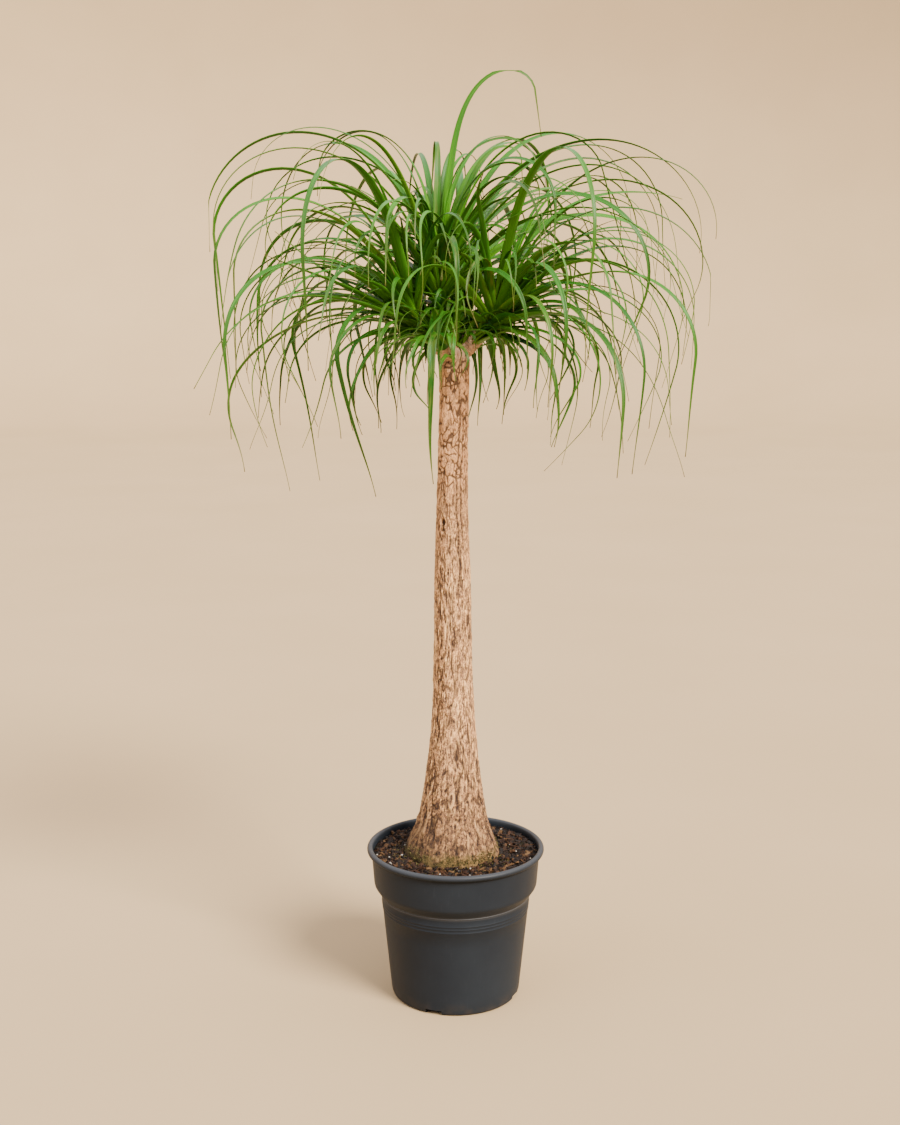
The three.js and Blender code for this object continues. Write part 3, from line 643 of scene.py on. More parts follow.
def leaf_finish():
    """Leaf: pale at its root, vivid along the blade, and olive to straw at the tip. The blade has fine
    lengthwise veins, a lighter midrib and a paler edge. Each leaf carries how fresh, dry and cool it is."""
    material, tree, shader = new_finish("palm leaf", Specular_IOR_Level=0.18)
    look = attribute(tree, "look")
    uv = add(tree, "UVMap", {"uv_map": "blade"}).outputs["UV"]
    split = add(tree, "SeparateXYZ", Vector=uv)
    across, along = split.outputs["X"], split.outputs["Y"]
    from_rib = maths(tree, "MULTIPLY", maths(tree, "ABSOLUTE", maths(tree, "SUBTRACT", across, 0.5)), 2.0)
    veins = pattern(tree, scaled(tree, uv, (34, 1.2, 1)), 1, 3, 0.6)
    mottle = pattern(tree, scaled(tree, uv, (2, 9, 1)), 1, 4)
    fresh = ramp(tree, along, [(0.0, "6f8a35"), (0.05, "578618"), (0.16, "4e850f"), (0.50, "31690b"),
                               (0.80, "345a10"), (0.92, "47551a"), (1.0, "61592b")])
    deep = ramp(tree, along, [(0.0, "55702a"), (0.06, "346811"), (0.20, "1b560a"), (0.60, "14460c"),
                              (0.88, "2e4713"), (1.0, "53472a")])
    green = blend(tree, look["Red"], deep, fresh)
    cool = blend(tree, look["Blue"], green, "1f5419")
    veined = blend(tree, ramp(tree, veins, [(0.36, 0.35), (0.52, 0.0)]), cool, "072302")
    lit = blend(tree, ramp(tree, mottle, [(0.52, 0.0), (0.70, 0.4)]), veined, "417d10")
    ribbed = blend(tree, ramp(tree, from_rib, [(0.0, 0.30), (0.16, 0.0)]), lit, "4c741d")
    edged = blend(tree, ramp(tree, from_rib, [(0.86, 0.0), (1.0, 0.22)]), ribbed, "5f7c2c")
    dryness = maths(tree, "MULTIPLY", look["Green"], ramp(tree, mottle, [(0.45, 0.0), (0.6, 1.0)]))
    dry = blend(tree, dryness, edged, "6e5c31")
    dress(tree, shader, dry, ramp(tree, mottle, [(0.3, 0.34), (0.7, 0.50)]), veins, 0.00025, 0.6)
    return material


# ---- Pot ----


def body_radius(z):
    return mix(BODY_FOOT_RADIUS, SHOULDER_RADIUS, z / SHOULDER_Z)


def band_radius(z):
    share = (z - BAND_FOOT_Z) / (POT_HEIGHT - 2 * LIP_ROLL - BAND_FOOT_Z)
    return mix(BAND_FOOT_RADIUS, BAND_TOP_RADIUS, share)


def arc(radius, height, bend, start, end, steps):
    """Points on an arc of a profile, from one angle to another in degrees."""
    angles = [math.radians(mix(start, end, i / steps)) for i in range(steps + 1)]
    return [(radius + bend * math.cos(a), height + bend * math.sin(a)) for a in angles]


def eased(points, radius, steps=4):
    """Rounds every inner corner of a profile."""
    result = [points[0]]
    for before, corner, after in zip(points, points[1:], points[2:]):
        corner = Vector(corner)
        to_before = Vector(before) - corner
        to_after = Vector(after) - corner
        reach = min(radius, to_before.length * 0.45, to_after.length * 0.45)
        start = corner + to_before.normalized() * reach
        end = corner + to_after.normalized() * reach
        for i in range(steps + 1):
            share = i / steps
            result.append(tuple(start.lerp(corner, share).lerp(corner.lerp(end, share), share)))
    return result + [points[-1]]


def ribs():
    """Fine rings below the shoulder, from the lowest up."""
    points = []
    for z in reversed(RIB_HEIGHTS):
        for offset, relief in RIB_SHAPE:
            height = z + offset * RIB_WIDTH / 2
            points.append((body_radius(height) + relief * RIB_RELIEF, height))
    return points


def pot_outside():
    """The outer skin, from the middle of the underside up to the inner edge of the lip."""
    lip_z = POT_HEIGHT - LIP_ROLL
    floor = [(r * FLOOR_RING_STEP, FLOOR_RECESS) for r in range(FLOOR_RINGS)]
    ring_side = (FOOT_RING_RADIUS - FOOT_RING_DRAFT, FLOOR_RECESS)
    foot = [ring_side, (FOOT_RING_RADIUS, 0.0), (SLOT_INNER_RADIUS, 0.0)]
    corner = arc(BODY_FOOT_RADIUS - CORNER_RADIUS, CORNER_RADIUS, CORNER_RADIUS, -90, 0, 6)
    body = [(body_radius(z), z) for z in (SLOT_TOP, *BODY_RINGS_OUTSIDE)]
    neck_z = SHOULDER_Z - SHOULDER_NECK
    bead = arc(SHOULDER_RADIUS, SHOULDER_Z - SHOULDER_BEAD, SHOULDER_BEAD, -90, 60, 5)
    above_bead = (SHOULDER_RADIUS + 0.0012, SHOULDER_Z + 0.0004)
    step_z = BAND_FOOT_Z + STEP_RISE
    step = [bead[-1], above_bead, (BAND_FOOT_RADIUS, BAND_FOOT_Z), (band_radius(step_z), step_z)]
    shoulder = [(body_radius(neck_z), neck_z)] + bead + eased(step, STEP_ROUNDING)[1:]
    band = [(band_radius(z), z) for z in BAND_RINGS_OUTSIDE]
    under_lip = [band[-1], (BAND_TOP_RADIUS, lip_z - LIP_ROLL), (LIP_RADIUS - 0.002, lip_z - 0.0036)]
    roll = arc(LIP_RADIUS - LIP_ROLL, lip_z, LIP_ROLL, -50, 150, 14)
    lower = floor + foot + corner + body + ribs()
    return lower + shoulder + band + eased(under_lip, LIP_ROUNDING)[1:] + roll


def pot_inside():
    """The inner skin, from under the lip down to the middle of the floor."""
    floor_z = FLOOR_RECESS + FLOOR_THICKNESS
    band = [(band_radius(z) - POT_WALL, z) for z in BAND_RINGS_INSIDE]
    body = [(body_radius(z) - POT_WALL, z) for z in (SHOULDER_Z, *BODY_RINGS_INSIDE, SLOT_TOP)]
    corner_radius = BODY_FOOT_RADIUS - CORNER_RADIUS - 0.0002
    corner = arc(corner_radius, INNER_CORNER_Z, CORNER_RADIUS - POT_WALL, -20, -90, 4)
    floor = [(r * FLOOR_RING_STEP, floor_z) for r in reversed(range(FLOOR_RINGS))]
    return band + body + corner + [(SLOT_INNER_RADIUS, floor_z)] + floor


def spun(profile, sides, first_angle=0.0):
    """Spins a profile of (radius, height) points once round the upright axis and closes it."""
    bm = bmesh.new()
    turn = Matrix.Rotation(first_angle, 3, "Z")
    verts = [bm.verts.new(turn @ Vector((radius, 0, z))) for radius, z in profile]
    edges = [bm.edges.new(pair) for pair in zip(verts, verts[1:])]
    bmesh.ops.spin(bm, geom=verts + edges, cent=(0, 0, 0), axis=(0, 0, 1), angle=math.tau, steps=sides,
                   use_merge=True, use_duplicate=False)
    poles = [vert for vert in bm.verts if vert.co.xy.length < 1e-6]
    bmesh.ops.remove_doubles(bm, verts=poles, dist=1e-6)
    bmesh.ops.recalc_face_normals(bm, faces=bm.faces)
    return bm


def stand(bm, foot, along):
    """Turns an upright shape along a direction and stands it on a point."""
    turn = Vector((0, 0, 1)).rotation_difference(along).to_matrix().to_4x4()
    bmesh.ops.transform(bm, matrix=Matrix.Translation(foot) @ turn, verts=bm.verts)


def turn_of(point):
    return math.atan2(point.y, point.x)


def apart(angle, other):
    """The angle between two headings."""
    return abs((angle - other + math.pi) % math.tau - math.pi)


def open_through(bm, chosen, shape_edge=None):
    """Deletes the chosen faces of both skins and joins the two edges that they leave."""
    faces = [face for face in bm.faces if chosen(face.calc_center_median())]
    corners = {vert for face in faces for vert in face.verts}
    bmesh.ops.delete(bm, geom=faces, context="FACES")
    rim = {edge for vert in corners if vert.is_valid for edge in vert.link_edges if edge.is_boundary}
    if shape_edge:
        for vert in {vert for edge in rim for vert in edge.verts}:
            vert.co = shape_edge(vert.co)
    bmesh.ops.bridge_loops(bm, edges=list(rim))


def cut_slots(bm):
    for i in range(SLOT_COUNT):
        middle = SLOT_FIRST_ANGLE + i * math.tau / SLOT_COUNT

        def chosen(point, middle=middle):
            outside = math.hypot(point.x, point.y) > SLOT_INNER_RADIUS and point.z < SLOT_TOP
            return outside and apart(turn_of(point), middle) < SLOT_HALF_WIDTH

        open_through(bm, chosen)


def cut_drains(bm):
    for i in range(DRAIN_COUNT):
        middle = Matrix.Rotation(i * math.tau / DRAIN_COUNT, 3, "Z") @ Vector((DRAIN_CIRCLE, 0, 0))

        def chosen(point, middle=middle):
            return point.z < SLOT_TOP and math.dist(point.xy, middle.xy) < DRAIN_RADIUS - DRAIN_EDGE

        def onto_circle(point, middle=middle):
            out = (point.xy - middle.xy).normalized() * DRAIN_RADIUS
            return Vector((middle.x + out.x, middle.y + out.y, point.z))

        open_through(bm, chosen, onto_circle)


def sharpen(bm, angle):
    """Marks edges that fold more than an angle as sharp, so that smooth shading stops there."""
    bm.normal_update()
    for edge in bm.edges:
        edge.smooth = not (len(edge.link_faces) == 2 and edge.calc_face_angle() > angle)


def make_pot():
    bm = spun(pot_outside() + pot_inside(), POT_SIDES, SLOT_FIRST_ANGLE)
    cut_slots(bm)
    cut_drains(bm)
    bmesh.ops.recalc_face_normals(bm, faces=bm.faces)
    sharpen(bm, FOLD_ANGLE)
    finished("nursery_pot", bm, plastic_finish(), "pot")


# ---- Trunk ----


def trunk_radius(z):
    """Radius of the bare trunk at a height."""
    above = max(z, SOIL_LINE) - SOIL_LINE
    radius = TOP_RADIUS + SHAFT_SWELL / (1 + math.exp((SOIL_LINE + above - SHAFT_MIDDLE) / SHAFT_BLEND))
    radius += FLARE_SWELL * math.exp(-((above / FLARE_LENGTH) ** 2))
    radius += TOE_SWELL * math.exp(-((above / TOE_LENGTH) ** TOE_CURVE))
    below = max(SOIL_LINE - z, 0) / FOOT_DEPTH
    return radius * math.sqrt(1 - FOOT_ROUNDING * below**2)


def trunk_middle(z):
    """Middle of the trunk at a height: it leans a little, bends slightly and stands forward at its foot."""
    share = (z - LEAN_FOOT_Z) / (TRUNK_TOP - LEAN_FOOT_Z)
    bend = TRUNK_SWAY * math.sin(share * TRUNK_WAVES * math.tau)
    forward = TOE_FORWARD * math.exp(-((max(0, z - SOIL_LINE) / FLARE_LENGTH) ** 2))
    return mix(TRUNK_FOOT_X, TRUNK_TOP_X, share) + bend, bend - forward


def line_share(value, width):
    """1 on the zero line of a wandering value and 0 a width away from it."""
    return max(0.0, 1 - abs(value) / width)


def drawn_out(point, height, fineness):
    """A place in a pattern that is drawn out upwards where the height is under 1."""
    return Vector((point.x, point.y, point.z * height)) * fineness


def corky(point, foot):
    """Old bark low on the trunk: upright ridges, fissures between them, and a flaky crust. The point lies on
    a straight tube, so that the ridges follow the flare of the foot."""
    warp = noise.noise_vector(point * 30) * 0.0038
    tall = Vector((point.x + warp.x, point.y + warp.y, point.z * 0.13 + warp.z))
    ridge = line_share(noise.noise(tall * 150), 0.16)
    ridge *= smooth(0.0, 0.35, noise.noise(tall * 60 + Vector((3, 1, 7))))
    fissure = line_share(noise.noise(tall * 205 + Vector((9, 4, 2))), 0.2)
    fissure *= smooth(-0.3, 0.15, noise.noise(tall * 80 + Vector((1, 8, 5))))
    flakes = noise.noise(drawn_out(point, 0.42, 250))
    crumbs = noise.noise(drawn_out(point, 0.55, 560))
    broad = noise.noise(tall * 45 + Vector((5, 5, 5)))
    pit = smooth(0.17, 0.09, noise.voronoi(drawn_out(point, 0.6, 95))[0][0])
    relief = OLD_RELIEF
    height = (relief["ridge"] * ridge - relief["fissure"] * fissure) * mix(1.0, 1.7, foot)
    height += relief["broad"] * broad
    height -= relief["pit"] * pit
    height += relief["flake"] * flakes + relief["crumb"] * crumbs
    dark = max(fissure * 0.9, pit, smooth(0.05, 0.40, -flakes) * 0.6, smooth(0.15, 0.5, -crumbs) * 0.5)
    return height, dark * (1 - ridge), ridge + smooth(0.25, 0.6, flakes) * 0.5


def netted(point):
    """Young bark high on the trunk: domed plates with dark cracks round them, wrinkles and small pits."""
    warp = noise.noise_vector(point * 48) * 0.0075 + noise.noise_vector(point * 160) * 0.0016
    moved = Vector((point.x + warp.x, point.y + warp.y, (point.z + warp.z) * 0.68))
    near, next_near = noise.voronoi(moved * 100)[0][:2]
    crack = smooth(0.21, 0.05, next_near - near) * smooth(-0.6, -0.15, noise.noise(point * 60))
    small_near, small_next = noise.voronoi(moved * 190)[0][:2]
    small = smooth(0.15, 0.04, small_next - small_near) * smooth(-0.1, 0.3, noise.noise(point * 36))
    small *= mix(0.2, 0.8, smooth(0.82, 0.68, point.z))
    wrinkle = line_share(noise.noise(Vector((point.x * 90, point.y * 90, point.z * 190))), 0.15)
    wrinkle *= smooth(0.0, 0.3, noise.noise(point * 40 + Vector((2, 6, 1))))
    grain = noise.noise(drawn_out(point, 0.6, 420))
    pit = smooth(0.16, 0.08, noise.voronoi(point * 80)[0][0])
    relief = YOUNG_RELIEF
    height = -relief["crack"] * crack - relief["small"] * small - relief["wrinkle"] * wrinkle
    height -= relief["pit"] * pit
    height += relief["grain"] * grain
    height += relief["dome"] * (1 - min(1, near * 1.2))
    dark = max(crack * 0.85, small * 0.5, wrinkle * 0.45, pit, smooth(0.2, 0.5, -grain) * 0.3)
    return height, dark, smooth(0.2, 0.6, grain) * 0.4


def seam(turn, z, heading, low, high, width):
    """A long upright split that wanders a little between two heights."""
    line = math.radians(heading) + 0.09 * math.sin(z * 34) + 0.04 * math.sin(z * 130)
    ends = smooth(low, low + 0.03, z) * smooth(high, high - 0.04, z)
    beads = 0.8 + 0.2 * math.sin(z * 900 + 4 * math.sin(z * 130))
    return line_share(apart(turn, line) * 0.021, width) * ends * beads


def ring_scar(turn, z, height, heading, reach):
    """Part of a thin level wrinkle that an old leaf left."""
    line = z - height - 0.0012 * math.sin(turn * 3 + height * 90) - 0.0006 * math.sin(turn * 11)
    ends = smooth(reach, reach * 0.5, apart(turn, math.radians(heading)))
    return line_share(line, SCAR_HALF_HEIGHT) * ends


def features(turn, z):
    """One-off marks on young bark: upright seams, leaf scars and a dark knot hole on the left."""
    seams = max(seam(turn, z, *row) for row in SEAMS)
    scars = max(ring_scar(turn, z, *row) for row in RING_SCARS)
    across = (apart(turn, KNOT_HEADING) * 0.022 + 0.0012 * math.sin(z * 420)) / KNOT_HALF_WIDTH
    knot = smooth(1.0, 0.3, math.hypot(across, (z - KNOT_Z) / KNOT_HALF_HEIGHT))
    lip = smooth(2.0, 1.1, math.hypot(across, (z - KNOT_LIP_Z) / KNOT_LIP_HALF_HEIGHT)) * (1 - knot)
    relief = MARK_RELIEF
    height = -relief["seam"] * seams - relief["scar"] * scars - relief["knot"] * knot + relief["lip"] * lip
    return height, max(seams, scars, knot * 1.2), lip * 0.3


def moss_share(turn, z, grit):
    """Where moss climbs the foot: most at the front and at the rear left."""
    height = (z - SOIL_LINE) / 0.030
    front = 0.45 * math.cos(turn - math.radians(-75))
    rear_left = 0.5 * smooth(0.9, 0.2, apart(turn, math.radians(160)))
    sides = 0.55 + front + rear_left
    return smooth(0.1, 0.75, sides * (1.05 - height) * 0.62 + grit * 0.35)


def barked(vert, marks, straight):
    """Moves one point of the trunk out to its bark. Records its marks and its place on a straight tube."""
    z = vert.co.z
    turn = turn_of(vert.co)
    reach = math.hypot(vert.co.x, vert.co.y)
    bare = trunk_radius(min(z, TRUNK_TOP))
    middle_x, middle_y = trunk_middle(z)
    around = Vector((BARK_ROUND * math.cos(turn), BARK_ROUND * math.sin(turn), z))
    vert[straight] = around * reach if reach else around
    foot = math.exp(-max(z - SOIL_LINE, 0) / FLARE_LENGTH)
    young = smooth(YOUNG_BARK_FROM, YOUNG_BARK_FULLY, z + 0.05 * noise.noise(around * 16))
    old_height, old_split, old_ridge = corky(around, foot) if young < 1 else (0, 0, 0)
    new_height, new_split, new_ridge = netted(around) if young > 0 else (0, 0, 0)
    mark_height, mark_split, mark_ridge = features(turn, z)
    height = mix(old_height, new_height, young) + mark_height
    height += ROOT_RELIEF * foot * (math.cos(ROOT_RIBS * turn + 0.6) + 0.6 * math.cos(7 * turn + 2.0)) * 0.7
    radius = max(0.0, bare + height) * reach
    vert.co.x = middle_x + radius * math.cos(turn)
    vert.co.y = middle_y + radius * math.sin(turn)
    moss = moss_share(turn, z, noise.noise(around * 150)) if z < SOIL_LINE + MOSS_TOP else 0
    split = max(mix(old_split, new_split, young), mark_split)
    vert[marks] = (min(1, split), min(1, mix(old_ridge, new_ridge, young) + mark_ridge), moss, young)


def trunk_profile():
    """Heights from the buried end to the top, with reach 1 for a full radius and 0 on the axis."""
    low = SOIL_LINE - TRUNK_BURIED
    shares = [(i / TRUNK_RINGS) ** TRUNK_RING_CURVE for i in range(TRUNK_RINGS + 1)]
    rings = [(1.0, mix(low, TRUNK_TOP, share)) for share in shares]
    dome = [(math.cos(a), TRUNK_TOP + TOP_DOME * math.sin(a)) for a in (0.35, 0.7, 1.05, 1.35)]
    return [(0.0, low)] + rings + dome + [(0.0, TRUNK_TOP + TOP_DOME)]


def make_trunk():
    bm = spun(trunk_profile(), TRUNK_SIDES)
    marks = bm.verts.layers.float_color.new("bark")
    straight = bm.verts.layers.float_vector.new("straight")
    for vert in bm.verts:
        barked(vert, marks, straight)
    finished("corky_trunk", bm, bark_finish("corky bark"), "trunk")


def stub_profile(length):
    """A branch stub with the ring scars that fallen leaves left, from inside the trunk to its seat."""
    points = [(0.0, 0.0)]
    for i in range(STUB_RINGS + 1):
        share = i / STUB_RINGS
        wave = abs(math.sin(share * math.pi * length / STUB_SCAR_STEP))
        radius = STUB_RADIUS * MM * mix(1.12, 1.0, share) + STUB_SCAR_RELIEF * (wave**0.6 - 0.6)
        points.append((radius, share * length))
    return points + [(0.0, length)]


def make_stubs():
    """All five stubs as one piece."""
    whole = bmesh.new()
    marks = whole.verts.layers.float_color.new("bark")
    straight = whole.verts.layers.float_vector.new("straight")
    start = Vector(fork_point()) * MM
    for head in HEADS.values():
        end = Vector(head["seat"]) * MM
        bm = spun(stub_profile((end - start).length), STUB_SIDES)
        for vert in bm.verts:
            vert.co.xy *= 1 + 0.05 * noise.noise(vert.co * 260 + start)
        stand(bm, start, end - start)
        join(whole, bm)
    for vert in whole.verts:
        scar = line_share(noise.noise(vert.co * 210), 0.2) * 0.5
        vert[marks] = (scar, 0.25 * noise.noise(vert.co * 300) + 0.2, 0, 1)
        vert[straight] = vert.co
    finished("branch_stubs", whole, bark_finish("young bark"), "trunk")


# ---- Leaves ----


def fork_point():
    x, y = trunk_middle(TRUNK_TOP)
    return (x / MM, y / MM, TRUNK_TOP / MM - FORK_DEPTH)


def unit(vector):
    return vector / np.linalg.norm(vector)


def seat_of(head):
    return np.array(head["seat"], float)


def width_share(s):
    """Share of a leaf's greatest width at a share of its length."""
    return np.minimum(1, 0.55 + 4 * s) * (1 - s) ** 1.1


def climb_at(leaf, s):
    share = np.minimum(1, s / leaf["hang_from"]) ** leaf["bend"]
    return mix(leaf["launch"], leaf["end"], share)


def heading_at(leaf, s):
    return leaf["heading"] + leaf["sway"] * s * s


def blade_frames(leaf, s):
    """The blade's line from edge to edge and its upper normal at shares of its length."""
    climb = climb_at(leaf, s)
    heading = heading_at(leaf, s)
    zero = np.zeros_like(s)
    flat = np.stack([-np.sin(heading), np.cos(heading), zero], axis=1)
    rise = np.sin(climb)
    up = np.stack([-rise * np.cos(heading), -rise * np.sin(heading), np.cos(climb)], axis=1)
    roll = (leaf["twist"] * (1 - s) ** 2 + leaf["roll"] * s)[:, None]
    return flat * np.cos(roll) + up * np.sin(roll), up * np.cos(roll) - flat * np.sin(roll)


def spine_of(leaf):
    middle = (np.arange(SPINE_STEPS) + 0.5) / SPINE_STEPS
    climb = climb_at(leaf, middle)
    heading = heading_at(leaf, middle)
    level = np.cos(climb)
    forward = np.stack([level * np.cos(heading), level * np.sin(heading), np.sin(climb)], axis=1)
    steps = np.cumsum(forward * (leaf["length"] / SPINE_STEPS), axis=0)
    return np.vstack([leaf["root"], leaf["root"] + steps])


def root_of(head, heading, launch):
    """A leaf roots on the core of its head, higher up the steeper it starts."""
    seat = seat_of(head)
    steepness = max(0, math.sin(launch))
    stem = unit(seat - fork_point())
    outward = ROOT_INSET * (1 - steepness)
    root = seat + stem * mix(ROOT_RISE, CORE_LENGTH - ROOT_BELOW_TIP, steepness)
    return root + (outward * math.cos(heading), outward * math.sin(heading), 0)


def outline_leaf(draw, name, heading, launch, length, end, bend, hang_from, sway=0, twist=0):
    """One leaf of the crown's outline, from its row."""
    heading, launch = math.radians(heading), math.radians(launch)
    return dict(
        root=root_of(HEADS[name], heading, launch),
        heading=heading,
        launch=launch,
        length=length,
        width=LEAF_WIDTH * (1 + OUTLINE_WIDTH_CHANCE * draw()),
        end=math.radians(end),
        bend=bend,
        hang_from=hang_from,
        sway=math.radians(sway),
        twist=math.radians(twist),
        roll=OUTLINE_ROLL_CHANCE * (draw() - 0.5),
        age=0.5,
    )


def leaf_of(head, age, azimuth, shortening, draw):
    """One leaf of a head, at an age and an azimuth. Leaves that point to the front start steeply."""

    def jitter():
        return draw() - 0.5

    seat = seat_of(head)
    fork = fork_point()
    away = math.atan2(seat[1] - fork[1], seat[0] - fork[0])
    turn = azimuth + jitter() * CHANCE["turn"]
    climb = math.radians(mix(head["oldest"], head["youngest"], age**AGE_CURVE)) + jitter() * CHANCE["climb"]
    x = math.cos(climb) * math.cos(turn) + head["lean"] * math.cos(away)
    y = math.cos(climb) * math.sin(turn) + head["lean"] * math.sin(away)
    heading = math.atan2(y, x)
    front = max(0, -math.sin(heading)) ** FRONT_NARROWNESS
    plain = math.atan2(math.sin(climb), math.hypot(x, y))
    launch = mix(plain, math.radians(FRONT_LAUNCH), FRONT_LIFT * front)
    steep = math.sin(max(0, launch))
    young = max(0, age - YOUNG_AGE) / (1 - YOUNG_AGE)
    old = max(0, OLD_AGE - age) / OLD_AGE
    loss_by_age = (1 - YOUNG_LOSS * young) * (1 - OLD_LOSS * old)
    facing = FACING_LOSS * math.sin(heading) ** 4
    loss_by_place = (1 - FLAT_LOSS * (1 - steep)) * (1 - FRONT_LOSS * front) * (1 - facing)
    whole = LEAF_LENGTH * head["scale"] * shortening
    return dict(
        root=root_of(head, heading, launch),
        heading=heading,
        launch=launch,
        length=whole * loss_by_age * loss_by_place * (1 + CHANCE["length"] * jitter()),
        width=LEAF_WIDTH * (1 + CHANCE["width"] * jitter()) * math.sqrt(head["scale"]),
        end=math.radians(END_ANGLE + CHANCE["end"] * jitter()),
        bend=BEND["least"] + BEND["steep"] * steep + BEND["young"] * young + CHANCE["bend"] * jitter(),
        hang_from=HANG_FROM["least"] + HANG_FROM["steep"] * steep + CHANCE["hang"] * jitter(),
        sway=CHANCE["sway"] * jitter(),
        twist=CHANCE["twist"] * jitter(),
        roll=CHANCE["roll"] * jitter(),
        age=age,
    )


def samples_of(leaf):
    """Points on a leaf's spine and both its edges."""
    s = np.arange(SPINE_STEPS + 1) / SPINE_STEPS
    across, _ = blade_frames(leaf, s)
    half = (leaf["width"] * width_share(s) / 2)[:, None]
    spine = spine_of(leaf)
    return np.stack([spine - across * half, spine, spine + across * half], axis=1).reshape(-1, 3)


def near_trunk(points, room):
    top = TRUNK_TOP / MM
    for point, space in zip(points, room):
        if point[2] > top + space:
            continue
        x, y = trunk_middle(min(point[2], top) * MM)
        if math.hypot(point[0] - x / MM, point[1] - y / MM) < trunk_radius(point[2] * MM) / MM + space:
            return True
    return False


def near_stub(points, own_head, room):
    """Whether points lie near a stub or its core. A leaf's own core doesn't count."""
    fork = np.array(fork_point())
    for head in HEADS.values():
        seat = seat_of(head)
        tip = seat if head is own_head else seat + unit(seat - fork) * CORE_LENGTH
        stem = tip - fork
        share = (points - fork) @ stem / (stem @ stem)
        nearest = fork + np.clip(share, 0, 1)[:, None] * stem
        close = np.linalg.norm(points - nearest, axis=1) < CORE_RADIUS + room
        if head is own_head:
            close &= share <= 1
        if close.any():
            return True
    return False


def in_crown(points):
    reach = np.abs(points[:, :2]).max()
    return reach <= CROWN_REACH and CROWN_SKIRT <= points[:, 2].min() and points[:, 2].max() <= CROWN_TOP


NEIGHBOURS = [(a, b, c) for a in (-1, 0, 1) for b in (-1, 0, 1) for c in (-1, 0, 1)]


def meets_leaves(points, past_root, name, taken):
    """Whether a leaf comes near another head's leaves, or past its root crosses one of its own head."""
    for (a, b, c), past in zip(np.floor(points / CLEAR_CELL).astype(int).tolist(), past_root):
        if past and taken.get((a, b, c)) == name:
            return True
        for i, j, k in NEIGHBOURS:
            if taken.get((a + i, b + j, c + k), name) != name:
                return True
    return False


def clear_of_wood(points, head):
    past_root = np.arange(len(points)) > 3 * ROOT_STEPS
    room = np.where(past_root, WOOD_ROOM, ROOT_ROOM)
    return in_crown(points) and not near_stub(points, head, room) and not near_trunk(points, room)


def take(points, name, taken):
    for cell in np.floor(points / CLEAR_CELL).astype(int).tolist():
        taken[tuple(cell)] = name


def place_leaves():
    """Every leaf of every head: the outline first, then each head from its oldest leaf to its youngest."""
    draw = seeded_draw(LEAF_SEED)
    taken = {}
    placed = {name: [] for name in HEADS}
    for row in OUTLINE_LEAVES:
        leaf = outline_leaf(draw, *row)
        take(samples_of(leaf), row[0], taken)
        placed[row[0]].append(leaf)
    past_root = np.arange(3 * (SPINE_STEPS + 1)) > 3 * ROOT_STEPS
    for i in range(max(head["leaves"] for head in HEADS.values())):
        for name, head in HEADS.items():
            if i >= head["leaves"]:
                continue
            for attempt in range(PLACING_TRIES):
                azimuth = math.radians((i + attempt * TRY_TURN) * GOLDEN_ANGLE)
                leaf = leaf_of(head, (i + 0.5) / head["leaves"], azimuth, 1 - TRY_LOSS * attempt, draw)
                points = samples_of(leaf)
                if not clear_of_wood(points, head) or meets_leaves(points, past_root, name, taken):
                    continue
                take(points, name, taken)
                placed[name].append(leaf)
                break
    return placed


def slim_leaves(head, count, draw):
    """Slimmer, slightly shorter leaves between the main ones."""
    leaves = []
    for i in range(count):
        for attempt in range(PLACING_TRIES):
            azimuth = math.radians((i + 0.5 + attempt * TRY_TURN) * GOLDEN_ANGLE)
            leaf = leaf_of(head, (i + 0.5) / count, azimuth, SLIM["length"] - TRY_LOSS * attempt, draw)
            leaf["width"] *= mix(*SLIM["width"], draw())
            if clear_of_wood(samples_of(leaf), head):
                leaves.append(leaf)
                break
    return leaves


def spear_leaves(head, count, draw):
    """Short young leaves that stand up in the middle of a head and hide its core."""
    leaves = []
    for i in range(count):
        share = (i + 0.5) / count
        leaf = leaf_of(head, mix(*SPEAR["age"], share), math.radians(i * GOLDEN_ANGLE + 40), 1, draw)
        leaf.update(
            length=mix(*SPEAR["length"], share) * mix(*SPEAR["length_chance"], draw()) * head["scale"],
            width=leaf["width"] * mix(*SPEAR["width"], share),
            bend=mix(*SPEAR["bend"], draw()),
            end=math.radians(mix(*SPEAR["end"], draw())),
            fresh=YOUNG_FRESHNESS,
        )
        leaves.append(leaf)
    return leaves


def skirt_leaves(head, count, draw):
    """Short old leaves that hang from the foot of a head and hide its stub."""
    leaves = []
    seat = seat_of(head)
    stem = unit(seat - fork_point())
    for i in range(count):
        leaf = leaf_of(head, SKIRT["age"], math.radians(i * GOLDEN_ANGLE), 1, draw)
        leaf.update(
            root=seat + stem * mix(*SKIRT["root"], draw()),
            launch=math.radians(mix(*SKIRT["launch"], draw())),
            length=mix(*SKIRT["length"], draw() ** 1.5),
            width=leaf["width"] * mix(*SKIRT["width"], draw()),
            bend=mix(*SKIRT["bend"], draw()),
        )
        leaves.append(leaf)
    return leaves


